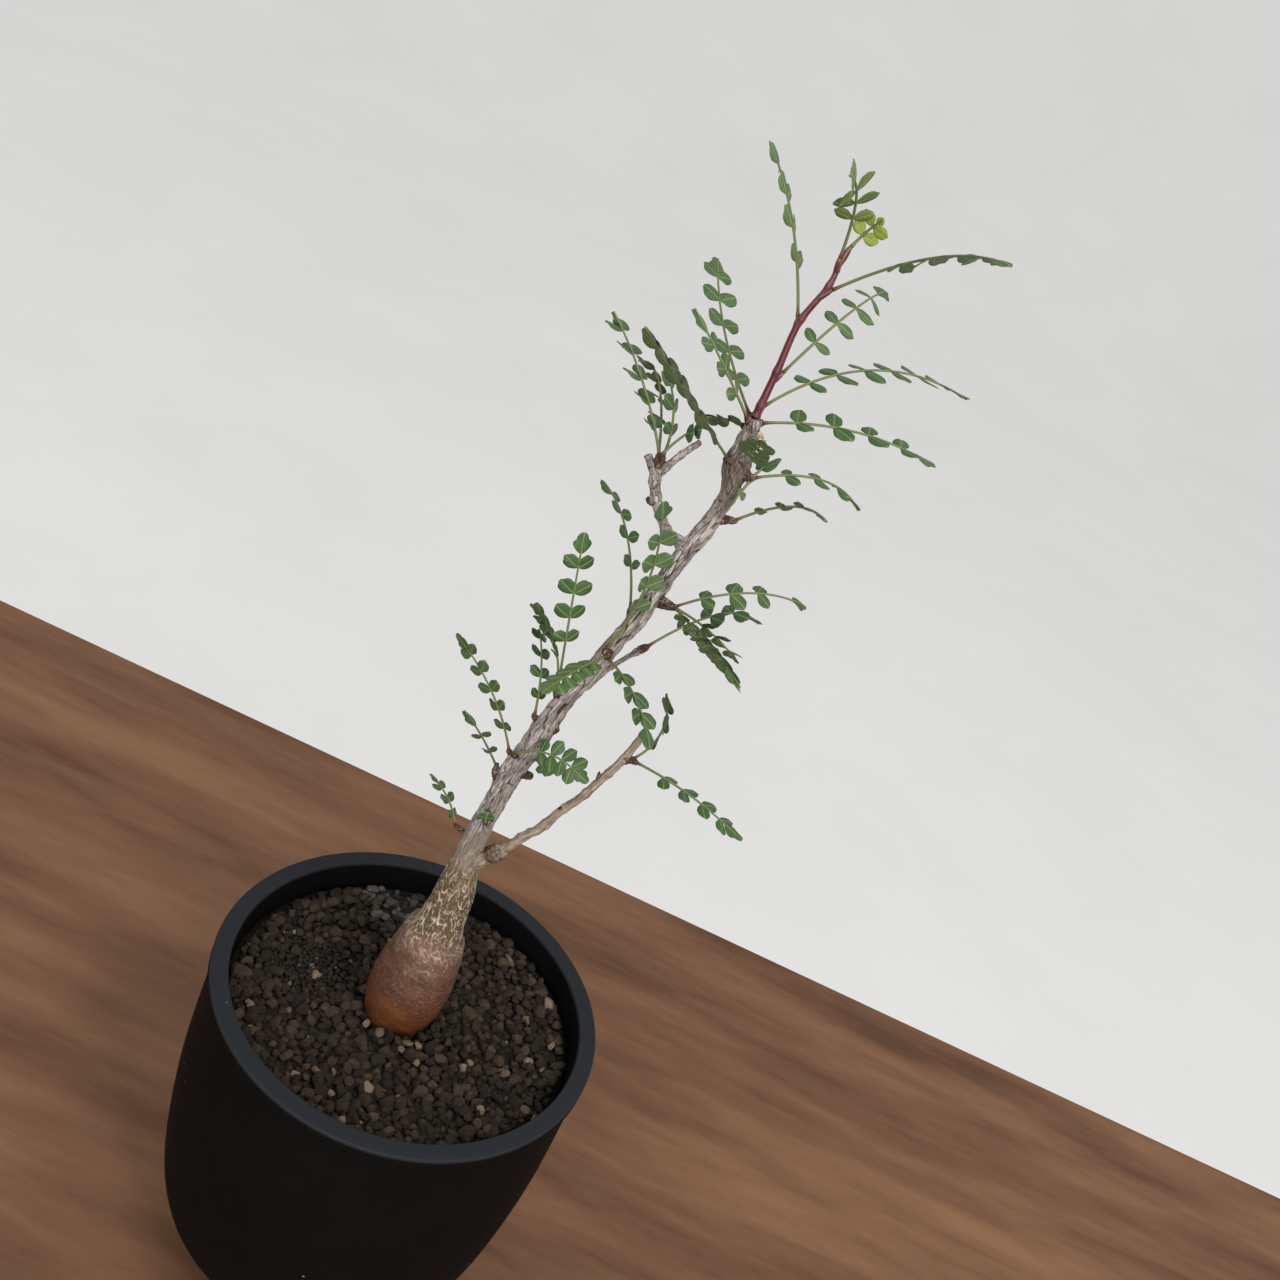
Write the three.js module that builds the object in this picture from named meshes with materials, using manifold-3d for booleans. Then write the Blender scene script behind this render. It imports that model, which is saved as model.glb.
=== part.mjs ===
// A young elephant tree in a round black pot: a swollen caudex, a leaning cracked trunk with cut-back
// branches, one red shoot of this year, and feather leaves with notched leaflets.
// Millimetres, +Z up. The origin is the middle of the pot's underside. X runs to the right and -Y to the front.
import * as THREE from "three";
import { mergeVertices } from "three/addons/utils/BufferGeometryUtils.js";
import Module from "manifold-3d";

const wasm = await Module();
wasm.setup();

// Pot
const POT_HEIGHT = 140;
const RIM_RADIUS = 75; // outside of the lip
const RIM_INNER_RADIUS = 68.3; // mouth
const LIP_HEIGHT = 4.5;
const LIP_STEP = 1.4; // the body sets in under the lip by this much
const EDGE = 0.9; // broken edge along the lip
const BODY_BELLY_RADIUS = 74.2; // widest part of the body
const BELLY_HEIGHT = 92;
const SHOULDER_IN_RADIUS = 62; // where the side turns under
const SHOULDER_IN_HEIGHT = 20;
const FOOT_RADIUS = 46; // flat underside
const FLOOR_THICKNESS = 5;
const WALL = 5.6;
const POT_SECTORS = 40;
const DRAIN_HOLES = 4;
const DRAIN_RADIUS = 4;
const DRAIN_RING_RADIUS = 26;

// Soil
const CLEARANCE = 0.3; // between pieces that touch
const SURFACE_TOLERANCE = 0.18; // joined surfaces are thinned out to this
const SOIL_LEVEL = POT_HEIGHT - 11;
const GRAIN_PITCH = 5.5; // between the tops of neighbouring grains
const GRAIN_RISE = 1.5;

// Caudex and trunk
const BURIED_DEPTH = 16;
const TAPROOT_DEPTH = 46;

// Spurs and leaves
const SPUR_SET_BACK = 4; // a spur leaves its stem this far behind the leaf's foot
const BLADE = 0.62; // thickness of a leaflet
const RACHIS = 0.95; // width and thickness of the leaf stalk
const STALK_END = 0.75; // the same at its tip
const LEAF_GAP = 0.3; // a leaf's foot stands this far off its spur
const PATH_STEPS = 24;

const FINISH = {
  pot: { color: 0x1b1a1a, roughness: 0.62, metalness: 0 },
  soil: { color: 0x43352a, roughness: 0.95, metalness: 0 },
  bark: { color: 0x8a7566, roughness: 0.85, metalness: 0 },
  shoot: { color: 0x7c2f36, roughness: 0.5, metalness: 0 },
  leaf: { color: 0x4e7a42, roughness: 0.55, metalness: 0 },
  young: { color: 0x7a8f2a, roughness: 0.5, metalness: 0 },
};

const tree = new THREE.Group();

function addMesh(name, geometry, finish) {
  const mesh = new THREE.Mesh(geometry, new THREE.MeshStandardMaterial(FINISH[finish]));
  mesh.name = name;
  tree.add(mesh);
  return mesh;
}

// A closed geometry as a solid that can be cut and joined.
function solid(geometry) {
  const bare = geometry.clone();
  bare.deleteAttribute("normal");
  bare.deleteAttribute("uv");
  const merged = mergeVertices(bare, 1e-4);
  const vertProperties = merged.attributes.position.array;
  const triVerts = new Uint32Array(merged.index.array);
  return new wasm.Manifold(new wasm.Mesh({ numProp: 3, vertProperties, triVerts }));
}

// A solid back as a three.js geometry.
function shell(body) {
  const mesh = body.getMesh();
  const places = new Float32Array(mesh.numVert * 3);
  for (let i = 0; i < mesh.numVert; i++) {
    places.set(mesh.vertProperties.subarray(i * mesh.numProp, i * mesh.numProp + 3), i * 3);
  }
  const geometry = new THREE.BufferGeometry();
  geometry.setAttribute("position", new THREE.BufferAttribute(places, 3));
  geometry.setIndex(new THREE.BufferAttribute(mesh.triVerts, 1));
  return geometry;
}

// A profile of [radius, height] points turned round the Z axis.
function turned(profile, sectors) {
  const points = profile.map(([radius, height]) => new THREE.Vector2(radius, height));
  return new THREE.LatheGeometry(points, sectors).rotateX(Math.PI / 2);
}

// Pot: one moulding with a flat rim, a lip band, a slightly bellied side and a rounded-under foot.
function potProfileOutside() {
  const belly = new THREE.CatmullRomCurve3([
    new THREE.Vector3(FOOT_RADIUS + 1.2, 0.9, 0),
    new THREE.Vector3(55.5, 10, 0),
    new THREE.Vector3(SHOULDER_IN_RADIUS + 1.6, SHOULDER_IN_HEIGHT, 0),
    new THREE.Vector3(69, 35, 0),
    new THREE.Vector3(72.4, 60, 0),
    new THREE.Vector3(BODY_BELLY_RADIUS, BELLY_HEIGHT, 0),
    new THREE.Vector3(RIM_RADIUS - LIP_STEP, POT_HEIGHT - LIP_HEIGHT - 0.8, 0),
  ]);
  return belly.getPoints(9).map((point) => [point.x, point.y]);
}

function makePot() {
  const outside = potProfileOutside();
  const inside = outside
    .filter(([radius, height]) => height > FLOOR_THICKNESS + 4 && radius > 0)
    .map(([radius, height]) => [Math.min(radius - WALL, RIM_INNER_RADIUS - 0.6), height])
    .filter((point, i) => i % 2 === 0)
    .reverse();
  const profile = [
    [0, 0],
    [FOOT_RADIUS, 0],
    ...outside,
    [RIM_RADIUS, POT_HEIGHT - LIP_HEIGHT],
    [RIM_RADIUS, POT_HEIGHT - EDGE],
    [RIM_RADIUS - EDGE, POT_HEIGHT],
    [RIM_INNER_RADIUS + EDGE / 2, POT_HEIGHT],
    [RIM_INNER_RADIUS, POT_HEIGHT - EDGE / 2],
    ...inside,
    [FOOT_RADIUS - 4, FLOOR_THICKNESS],
    [0, FLOOR_THICKNESS],
  ];
  let pot = solid(turned(profile, POT_SECTORS));
  for (let i = 0; i < DRAIN_HOLES; i++) {
    const angle = ((i + 0.5) / DRAIN_HOLES) * 2 * Math.PI;
    const bore = new THREE.CylinderGeometry(DRAIN_RADIUS, DRAIN_RADIUS, FLOOR_THICKNESS * 4, 10);
    bore.rotateX(Math.PI / 2);
    bore.translate(DRAIN_RING_RADIUS * Math.cos(angle), DRAIN_RING_RADIUS * Math.sin(angle), 0);
    pot = pot.subtract(solid(bore));
  }
  addMesh("pot", shell(pot), "pot");
  return inside;
}

// Caudex: [centre x, height, radius] from the root end up to the neck of the trunk.
const CAUDEX = [
  [0, SOIL_LEVEL - TAPROOT_DEPTH, 1.2],
  [0, SOIL_LEVEL - 32, 4.2],
  [-0.5, SOIL_LEVEL - BURIED_DEPTH, 9.5],
  [-1.2, SOIL_LEVEL - 6, 12.4],
  [-1.8, SOIL_LEVEL + 1, 13.8],
  [-1.8, SOIL_LEVEL + 10, 15.2],
  [-1.2, SOIL_LEVEL + 19, 15.2],
  [-0.6, SOIL_LEVEL + 28, 13.7],
  [-0.6, SOIL_LEVEL + 36, 12.1],
  [-0.9, SOIL_LEVEL + 41, 10.7],
  [-0.4, SOIL_LEVEL + 45, 9.0],
  [0.1, SOIL_LEVEL + 53, 7.9],
  [0.2, SOIL_LEVEL + 61, 7.3],
  [-0.3, SOIL_LEVEL + 69, 6.3],
  [-0.8, SOIL_LEVEL + 77, 5.2],
  [-0.9, SOIL_LEVEL + 86, 4.7],
];

// Trunk above the neck: [x, y, z, radius] as measured along it.
const TRUNK = [
  [-0.6, 0, 224, 4.1],
  [0.1, 0, 233, 3.9],
  [0.9, 0, 244, 4.1],
  [2.6, 0, 255, 4.2],
  [5.4, 0, 269, 4.1],
  [7.8, 0, 282, 3.3],
  [12.6, 0, 299, 3.0],
  [16.4, 0, 314, 3.0],
  [19.0, 0, 325, 3.1],
  [21.0, 0, 337, 2.9],
  [23.4, 0, 350, 2.9],
  [26.0, 0, 360, 2.9],
  [27.5, 0, 368, 2.7],
  [27.5, 0, 375, 2.9],
  [26.5, 0, 382, 4.1],
  [26.0, 0, 388, 3.4],
  [25.9, 0, 393, 2.7],
  [25.3, 0, 397.4, 2.2],
];

const BRANCHES = {
  low: [
    [0.0, 0, 206, 3.4],
    [5.1, -0.5, 212.4, 3.2],
    [8.8, -0.95, 216.7, 3.2],
    [10.7, -1.15, 220.2, 1.9],
    [14.2, -1.5, 227.3, 1.7],
    [18.8, -2, 234.9, 1.7],
    [22.4, -2.4, 244.7, 1.55],
    [26.4, -2.8, 252.8, 1.5],
    [29.8, -3.2, 262.5, 1.45],
    [33.5, -3.6, 273.1, 1.4],
    [35.6, -3.8, 282.7, 1.3],
    [36.7, -4, 288.6, 1.2],
  ],
  left: [
    [23.2, 0, 350.5, 2.3],
    [20.6, 0.2, 352.4, 2.0],
    [16.7, 0.6, 352.8, 1.8],
    [12.7, 1, 356.4, 1.6],
    [9.4, 1.4, 360.1, 1.6],
    [5.8, 1.8, 366.6, 1.8],
    [5.3, 2, 370.7, 1.7],
  ],
  leftStub: [
    [5.8, 1.8, 367.3, 1.5],
    [3.1, 1.6, 370.6, 1.4],
    [0.8, 1.4, 373.1, 1.2],
  ],
  leftArm: [
    [5.8, 2, 368.3, 1.5],
    [9.5, 2.2, 376.2, 1.1],
    [13.7, 2.4, 383.4, 1.0],
  ],
  twig: [
    [12.0, 0, 291.5, 1.6],
    [13.9, 1.2, 294.2, 1.2],
    [16.7, 2, 300, 0.95],
    [20.2, 2.4, 306.1, 0.85],
    [22.6, 2.7, 309.7, 1.0],
    [24.7, 3, 312.9, 1.3],
  ],
  crownStub: [
    [25.8, 0, 390, 2.3],
    [28.0, -1.4, 392.6, 2.2],
    [29.2, -2.0, 393.8, 1.9],
  ],
};

// Short bare spurs and old leaf scars: [x, y, z, radius] from the stem out to the bud.
const BARE_SPURS = [
  [[-0.4, 0, 243, 2.2], [-3.4, 0, 246.6, 1.5], [-4.0, 0, 250.4, 0.5]],
  [[5.4, 0, 269, 2.2], [9.2, -0.3, 272.2, 1.5], [10.8, -0.3, 272.8, 0.9]],
  [[2.0, 0, 251, 2.4], [6.8, -1.0, 251.4, 1.6], [9.0, -1.2, 252.4, 1.1]],
  [[26.9, 0, 364, 1.8], [30.2, 0, 365.0, 1.3], [31.6, 0, 366.4, 0.9]],
  [[9.4, 1.4, 360.1, 1.4], [7.2, 1, 359.8, 0.9], [5.9, 0.8, 361.1, 0.8]],
  [[29.8, -3.2, 262.5, 1.2], [28.9, -3.4, 265.4, 0.6], [28.7, -3.4, 266.8, 0.35]],
  [[14.2, -1.5, 227.3, 1.4], [12.8, -1.7, 227.9, 0.8], [12.2, -1.8, 228.2, 0.5]],
  [[18.2, -2, 234.0, 1.4], [18.4, -2.2, 232.2, 0.9], [18.4, -2.2, 231.3, 0.6]],
  [[22.4, -2.4, 244.7, 1.3], [22.4, -3.2, 246.6, 0.9], [22.5, -3.6, 247.6, 0.6]],
];

// This year's shoot, red, from the crown of the trunk to the growing tip.
const SHOOT = [
  [25.15, 0, 398.3, 1.6],
  [25.2, 0, 399.8, 1.25],
  [25.2, 0, 404, 1.15],
  [25.2, 0, 414, 1.05],
  [25.0, 0, 427.7, 0.95],
  [28.1, 0, 440.0, 0.85],
  [28.3, 0, 447.2, 0.75],
  [28.9, 0, 451.2, 0.6],
];

// Leaves. Each row: name and stem; where it springs [x, y, z]; the way it sets off and the way its tip
// points, both as [bearing, rise] in degrees with bearing 0 to the right and 90 to the back; length;
// pairs of leaflets, and the shares of the length at which the first and the last pair sit; leaflet
// length, and its half width as a share of that; in degrees, the leaflets' spread from the stalk, how far
// they fold up, and their twist on their own axis; the way the upper side faces [bearing, rise].
const LEAVES = [
  ["leaf_shoot_1", "shoot", [24.0, 0.6, 429.0], [127, 51], [131, 24], 58.2, 4, 0.28, 0.85, 6.8, 0.45, 53, 7, -15, [-4, 42]],
  ["leaf_shoot_2", "shoot", [27.6, -1.3, 448.7], [-113, 77], [-104, 5], 37.0, 4, 0.33, 0.78, 6.4, 0.33, 76, -5, 0, [-88, 25]],
  ["leaf_shoot_3", "shoot", [29.6, -0.1, 439.9], [-5, 49], [-67, 5], 60.5, 4, 0.34, 0.8, 6.2, 0.43, 96, -8, -19, [155, 58]],
  ["leaf_shoot_4", "shoot", [27.0, 2.0, 412.7], [46, 59], [77, -2], 55.5, 4, 0.23, 0.75, 6.9, 0.25, 69, -21, 4, [-79, 56]],
  ["leaf_shoot_5", "shoot", [26.3, 2.6, 401.4], [51, 38], [29, -13], 79.0, 6, 0.21, 0.85, 9.4, 0.25, 84, 0, 0, [-177, 76]],
  ["leaf_tip_young", "shoot", [29.1, 0.2, 452.3], [33, 68], [-67, 31], 12.5, 2, 0.34, 0.64, 5.2, 0.4, 72, 4, 0, [-82, 20]],
  ["leaf_crown_1", "trunk", [28.4, 1.9, 397.0], [28, 18], [25, -13], 61.0, 4, 0.17, 0.77, 7.6, 0.38, 68, 9, -10, [-114, 87]],
  ["leaf_crown_2", "trunk", [22.8, -2.0, 397.6], [-169, 44], [169, 35], 34.4, 3, 0.22, 0.66, 6.7, 0.37, 69, 0, -5, [-10, 50]],
  ["leaf_crown_3", "trunk", [22.9, 2.4, 397.7], [132, 24], [108, 23], 65.2, 5, 0.19, 0.86, 6.6, 0.45, 63, 7, -6, [-35, 64]],
  ["leaf_crown_4", "trunk", [22.2, 0.9, 393.9], [-133, 14], [-146, -13], 13.0, 2, 0.4, 0.69, 6.1, 0.46, 86, -2, -32, [130, 58]],
  ["leaf_collar_1", "trunk", [22.7, -3.6, 384.5], [-123, 32], [-134, 36], 63.3, 6, 0.26, 0.87, 7.5, 0.46, 62, 5, -22, [39, 55]],
  ["leaf_collar_2", "trunk", [23.1, -4.0, 384.1], [-66, 27], [-83, 41], 30.9, 4, 0.48, 0.84, 5.0, 0.46, 56, -2, -4, [75, 51]],
  ["leaf_collar_3", "trunk", [32.9, 1.0, 380.9], [19, 29], [50, -37], 44.5, 3, 0.21, 0.64, 6.2, 0.33, 59, -7, -6, [50, 86]],
  ["leaf_collar_4", "trunk", [31.8, -3.4, 380.8], [-133, -70], [-114, -56], 9.3, 1, 0.48, 0.48, 5.5, 0.25, 84, -8, 10, [161, 6]],
  ["leaf_collar_5", "trunk", [32.1, -2.8, 382.2], [57, 50], [46, 46], 7.2, 1, 0.47, 0.47, 7.2, 0.46, 48, 9, -11, [-166, 35]],
  ["leaf_branch_1", "left", [3.9, 0.0, 375.4], [174, 58], [160, 33], 44.0, 5, 0.18, 0.86, 7.2, 0.46, 54, -13, 39, [-9, 44]],
  ["leaf_branch_2", "left", [3.6, 3.4, 374.1], [119, 50], [112, -25], 54.0, 4, 0.22, 0.64, 5.1, 0.46, 85, -17, 46, [5, 57]],
  ["leaf_branch_3", "left", [5.2, 2.4, 374.8], [95, 77], [145, 27], 28.4, 3, 0.24, 0.76, 6.4, 0.36, 66, 1, -14, [-8, 31]],
  ["leaf_branch_4", "left", [4.9, -0.6, 376.1], [38, 65], [11, 49], 14.9, 2, 0.61, 0.8, 7.0, 0.45, 69, -4, -44, [176, 30]],
  ["leaf_trunk_1", "trunk", [15.1, 4.0, 323.0], [123, 50], [126, -4], 53.8, 4, 0.26, 0.83, 5.8, 0.36, 67, 9, -22, [-5, 57]],
  ["leaf_trunk_2", "trunk", [14.0, -4.6, 310.5], [3, 77], [-125, 57], 61.9, 4, 0.29, 0.73, 6.4, 0.46, 52, -10, -17, [135, 8]],
  ["leaf_trunk_3", "trunk", [4.7, -2.2, 287.7], [-126, 73], [165, 77], 59.1, 4, 0.35, 0.8, 6.1, 0.45, 53, -2, -6, [-65, 0]],
  ["leaf_trunk_4", "trunk", [4.2, 2.2, 284.9], [113, 47], [151, 2], 33.9, 4, 0.36, 0.8, 7.1, 0.45, 66, 0, 15, [31, 28]],
  ["leaf_trunk_5", "trunk", [0.9, 0.0, 274.5], [113, 55], [119, 14], 31.6, 4, 0.17, 0.86, 5.1, 0.38, 50, -6, 4, [-25, 49]],
  ["leaf_trunk_6", "trunk", [14.5, -5.0, 308.2], [-115, -4], [-106, -6], 34.2, 5, 0.21, 0.78, 5.6, 0.46, 62, -12, 12, [177, 74]],
  ["leaf_trunk_7", "trunk", [15.8, -4.0, 307.2], [-44, 3], [-64, -17], 39.6, 3, 0.21, 0.65, 6.6, 0.43, 53, -5, 30, [14, 72]],
  ["leaf_trunk_8", "trunk", [28.0, 1.4, 331.4], [5, 46], [43, -20], 48.2, 3, 0.18, 0.56, 6.3, 0.44, 54, -12, 4, [-108, 71]],
  ["leaf_trunk_9", "trunk", [28.2, 0, 331.5], [-25, 9], [-1, -31], 27.1, 3, 0.41, 0.81, 7.2, 0.34, 66, 6, -25, [65, 45]],
  ["leaf_trunk_10", "trunk", [28.2, -2.6, 332.6], [-57, 9], [-61, 5], 49.5, 5, 0.19, 0.76, 7.9, 0.36, 69, -5, -46, [42, 58]],
  ["leaf_trunk_11", "trunk", [33.4, 1.0, 366.5], [15, 46], [-69, 4], 36.2, 4, 0.18, 0.78, 4.2, 0.4, 48, 5, 1, [103, 51]],
  ["leaf_twig", "twig", [25.7, 2.0, 314.7], [30, 51], [62, -33], 53.1, 3, 0.24, 0.62, 6.0, 0.46, 78, 4, -39, [171, 73]],
  ["leaf_low_1", "trunk", [-2.4, 0.0, 257.3], [177, 61], [164, 21], 44.0, 5, 0.18, 0.81, 5.7, 0.39, 62, 1, 7, [62, 18]],
  ["leaf_low_2", "trunk", [-3.7, 2.0, 246.8], [148, 30], [156, 16], 23.5, 2, 0.26, 0.53, 6.1, 0.25, 77, 2, 22, [7, 63]],
  ["leaf_low_3", "trunk", [-9.5, 0.0, 219.4], [141, 46], [166, 11], 19.9, 3, 0.16, 0.69, 6.0, 0.31, 74, -1, 1, [17, 53]],
  ["leaf_low_4", "trunk", [0.6, -5.6, 229.6], [-110, 58], [100, 70], 5.0, 1, 0.52, 0.52, 3.6, 0.44, 70, 20, 0, [-90, 25]],
  ["leaf_low_5", "trunk", [0.6, -5.4, 260.2], [-20, 51], [-16, -23], 30.2, 4, 0.35, 0.76, 5.8, 0.4, 68, 6, 0, [-80, 40]],
  ["leaf_low_6", "trunk", [7.1, 3.2, 255.8], [8, -5], [66, -13], 11.9, 2, 0.35, 0.65, 6.2, 0.38, 86, -12, 12, [121, 29]],
  ["leaf_arm_1", "low", [37.2, -2.2, 276.5], [34, 42], [141, 42], 25.9, 3, 0.3, 0.77, 7.7, 0.46, 67, 4, -20, [-179, 2]],
  ["leaf_arm_2", "low", [38.8, -5.2, 277.1], [-25, 13], [-11, -17], 43.0, 4, 0.25, 0.78, 6.5, 0.37, 55, -2, 3, [47, 85]],
];

function heading([bearing, rise]) {
  const b = THREE.MathUtils.degToRad(bearing);
  const r = THREE.MathUtils.degToRad(rise);
  return new THREE.Vector3(Math.cos(r) * Math.cos(b), Math.cos(r) * Math.sin(b), Math.sin(r));
}

// A bent round bar: a cylinder's rings are laid along a smooth line through the stations.
function limb(stations, sides, rings) {
  const line = new THREE.CatmullRomCurve3(
    stations.map(([x, y, z]) => new THREE.Vector3(x, y, z)), false, "catmullrom", 0.5,
  );
  const girth = new THREE.CatmullRomCurve3(
    stations.map((station) => new THREE.Vector3(station[3], 0, 0)), false, "catmullrom", 0.5,
  );
  const bar = new THREE.CylinderGeometry(1, 1, 1, sides, rings);
  const places = bar.attributes.position;
  for (let i = 0; i < places.count; i++) {
    const t = THREE.MathUtils.clamp(places.getY(i) + 0.5, 0, 1);
    const centre = line.getPoint(t);
    const along = line.getTangent(t);
    const back = new THREE.Vector3(0, 1, 0).addScaledVector(along, -along.y).normalize();
    const side = new THREE.Vector3().crossVectors(back, along);
    const radius = girth.getPoint(t).x;
    centre.addScaledVector(side, radius * places.getX(i));
    centre.addScaledVector(back, radius * places.getZ(i));
    places.setXYZ(i, centre.x, centre.y, centre.z);
  }
  const made = solid(bar);
  return made.volume() < 0 ? flipped(bar) : made;
}

// The same closed surface with its faces turned round.
function flipped(geometry) {
  const turnedRound = geometry.clone();
  const index = turnedRound.index.array;
  for (let i = 0; i < index.length; i += 3) {
    [index[i + 1], index[i + 2]] = [index[i + 2], index[i + 1]];
  }
  return solid(turnedRound);
}

const STEMS = {
  trunk: TRUNK,
  shoot: SHOOT,
  left: BRANCHES.left,
  twig: BRANCHES.twig,
  low: BRANCHES.low,
};

// The spur that carries a leaf: from the stem's middle, bending into the leaf's own direction.
function spur(stem, root, setOff, thickness) {
  const line = new THREE.CatmullRomCurve3(STEMS[stem].map(([x, y, z]) => new THREE.Vector3(x, y, z)));
  const foot = new THREE.Vector3(...root);
  const behind = foot.clone().addScaledVector(setOff, -SPUR_SET_BACK);
  const start = line
    .getPoints(80)
    .reduce((best, point) => (point.distanceTo(behind) < best.distanceTo(behind) ? point : best));
  const knuckle = foot.clone().addScaledVector(setOff, -0.9);
  const middle = start.clone().lerp(knuckle, 0.6);
  const stations = [
    [...start.toArray(), thickness * 1.35],
    [...middle.toArray(), thickness * 1.2],
    [...knuckle.toArray(), thickness],
    [...foot.toArray(), thickness * 0.8],
  ];
  return limb(stations, 5, 2);
}

// Soil: a plug that fills the pot, its top a bed of angular grains, with a plain hole for the root.
function makeSoil(potInside) {
  const wall = potInside
    .filter(([, height]) => height < SOIL_LEVEL + 2)
    .map(([radius, height]) => [radius - CLEARANCE, height])
    .reverse();
  const topRadius = RIM_INNER_RADIUS - 0.6 - CLEARANCE;
  const plug = solid(turned([
    [0, FLOOR_THICKNESS + CLEARANCE],
    [FOOT_RADIUS - 5, FLOOR_THICKNESS + CLEARANCE],
    ...wall,
    [topRadius, SOIL_LEVEL + 4],
    [0, SOIL_LEVEL + 4],
  ], POT_SECTORS));
  const columns = Math.ceil((2 * RIM_RADIUS) / GRAIN_PITCH);
  const rows = Math.ceil((2 * RIM_RADIUS) / (GRAIN_PITCH * 0.866));
  const bed = new THREE.BoxGeometry(2 * RIM_RADIUS, 2 * RIM_RADIUS, 200, columns, rows, 1);
  bed.translate(0, 0, SOIL_LEVEL - 100);
  const places = bed.attributes.position;
  for (let i = 0; i < places.count; i++) {
    const column = Math.round(((places.getX(i) + RIM_RADIUS) / (2 * RIM_RADIUS)) * columns);
    const row = Math.round(((places.getY(i) + RIM_RADIUS) / (2 * RIM_RADIUS)) * rows);
    const peak = (column + row) % 2 === 0;
    const draw = scatter(column, row);
    const shift = row % 2 ? GRAIN_PITCH / 4 : -GRAIN_PITCH / 4;
    places.setX(i, places.getX(i) + shift + (scatter(row, column + 7) - 0.5) * 1.2);
    places.setY(i, places.getY(i) + (scatter(row + 3, column) - 0.5) * 1.2);
    if (places.getZ(i) > SOIL_LEVEL - 1) {
      places.setZ(i, SOIL_LEVEL + (peak ? GRAIN_RISE * (0.5 + 0.6 * draw) : -0.5 * draw));
    }
  }
  const pit = solid(turned(pitProfile(), 20));
  addMesh("soil", shell(plug.intersect(solid(bed)).subtract(pit).simplify(SURFACE_TOLERANCE)), "soil");
}

// A fixed draw between 0 and 1 for a cell of the grain bed.
function scatter(a, b) {
  const value = Math.sin(a * 127.1 + b * 311.7) * 43758.5453;
  return value - Math.floor(value);
}

// The hole round the buried base: the caudex's own girth and its lean, with the clearance added.
function pitProfile() {
  const buried = CAUDEX.filter(([, height]) => height < SOIL_LEVEL + 14);
  const profile = buried.map(([x, height, radius]) => [
    radius / Math.cos(Math.PI / 20) + Math.abs(x) + CLEARANCE + 0.1, height,
  ]);
  profile[0][1] -= 0.8;
  return [[0, profile[0][1]], ...profile, [0, profile[profile.length - 1][1]]];
}

function makeWood() {
  const caudexStations = CAUDEX.map(([x, height, radius]) => [x, 0, height, radius]);
  let wood = limb([...caudexStations, ...TRUNK], 13, 46);
  const fuse = (stations, sides, rings) => {
    wood = wood.add(limb(stations, sides, rings));
  };
  fuse(BRANCHES.low, 7, 14);
  fuse(BRANCHES.left, 7, 7);
  fuse(BRANCHES.leftStub, 6, 2);
  fuse(BRANCHES.leftArm, 6, 3);
  fuse(BRANCHES.twig, 6, 5);
  fuse(BRANCHES.crownStub, 8, 3);
  for (const stations of BARE_SPURS) {
    fuse(stations, 5, 2);
  }
  for (const [, stem, root, setOff] of LEAVES) {
    if (stem !== "shoot") {
      wood = wood.add(spur(stem, root, heading(setOff), 1.15));
    }
  }
  addMesh("wood", shell(wood.simplify(SURFACE_TOLERANCE)), "bark");
}

function makeShoot() {
  let shoot = limb(SHOOT, 7, 12);
  for (const [, stem, root, setOff] of LEAVES) {
    if (stem === "shoot") {
      shoot = shoot.add(spur(stem, root, heading(setOff), 0.7));
    }
  }
  addMesh("shoot", shell(shoot.simplify(SURFACE_TOLERANCE / 3)), "shoot");
}

// Half outlines: [share of the length along, share of the half width across] for a leaflet, and both in
// shares of the length for the lobed one at the tip. The tips are notched.
const LEAFLET = [[0.26, 0.86], [0.78, 0.84]];
const TERMINAL = [[0.3, 0.24], [0.6, 0.4], [0.62, 0.16], [1.0, 0.2], [0.95, 0.0]];
// Leaflets of one leaf stay this far apart.
const LEAFLET_GAP = 0.3;

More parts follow.
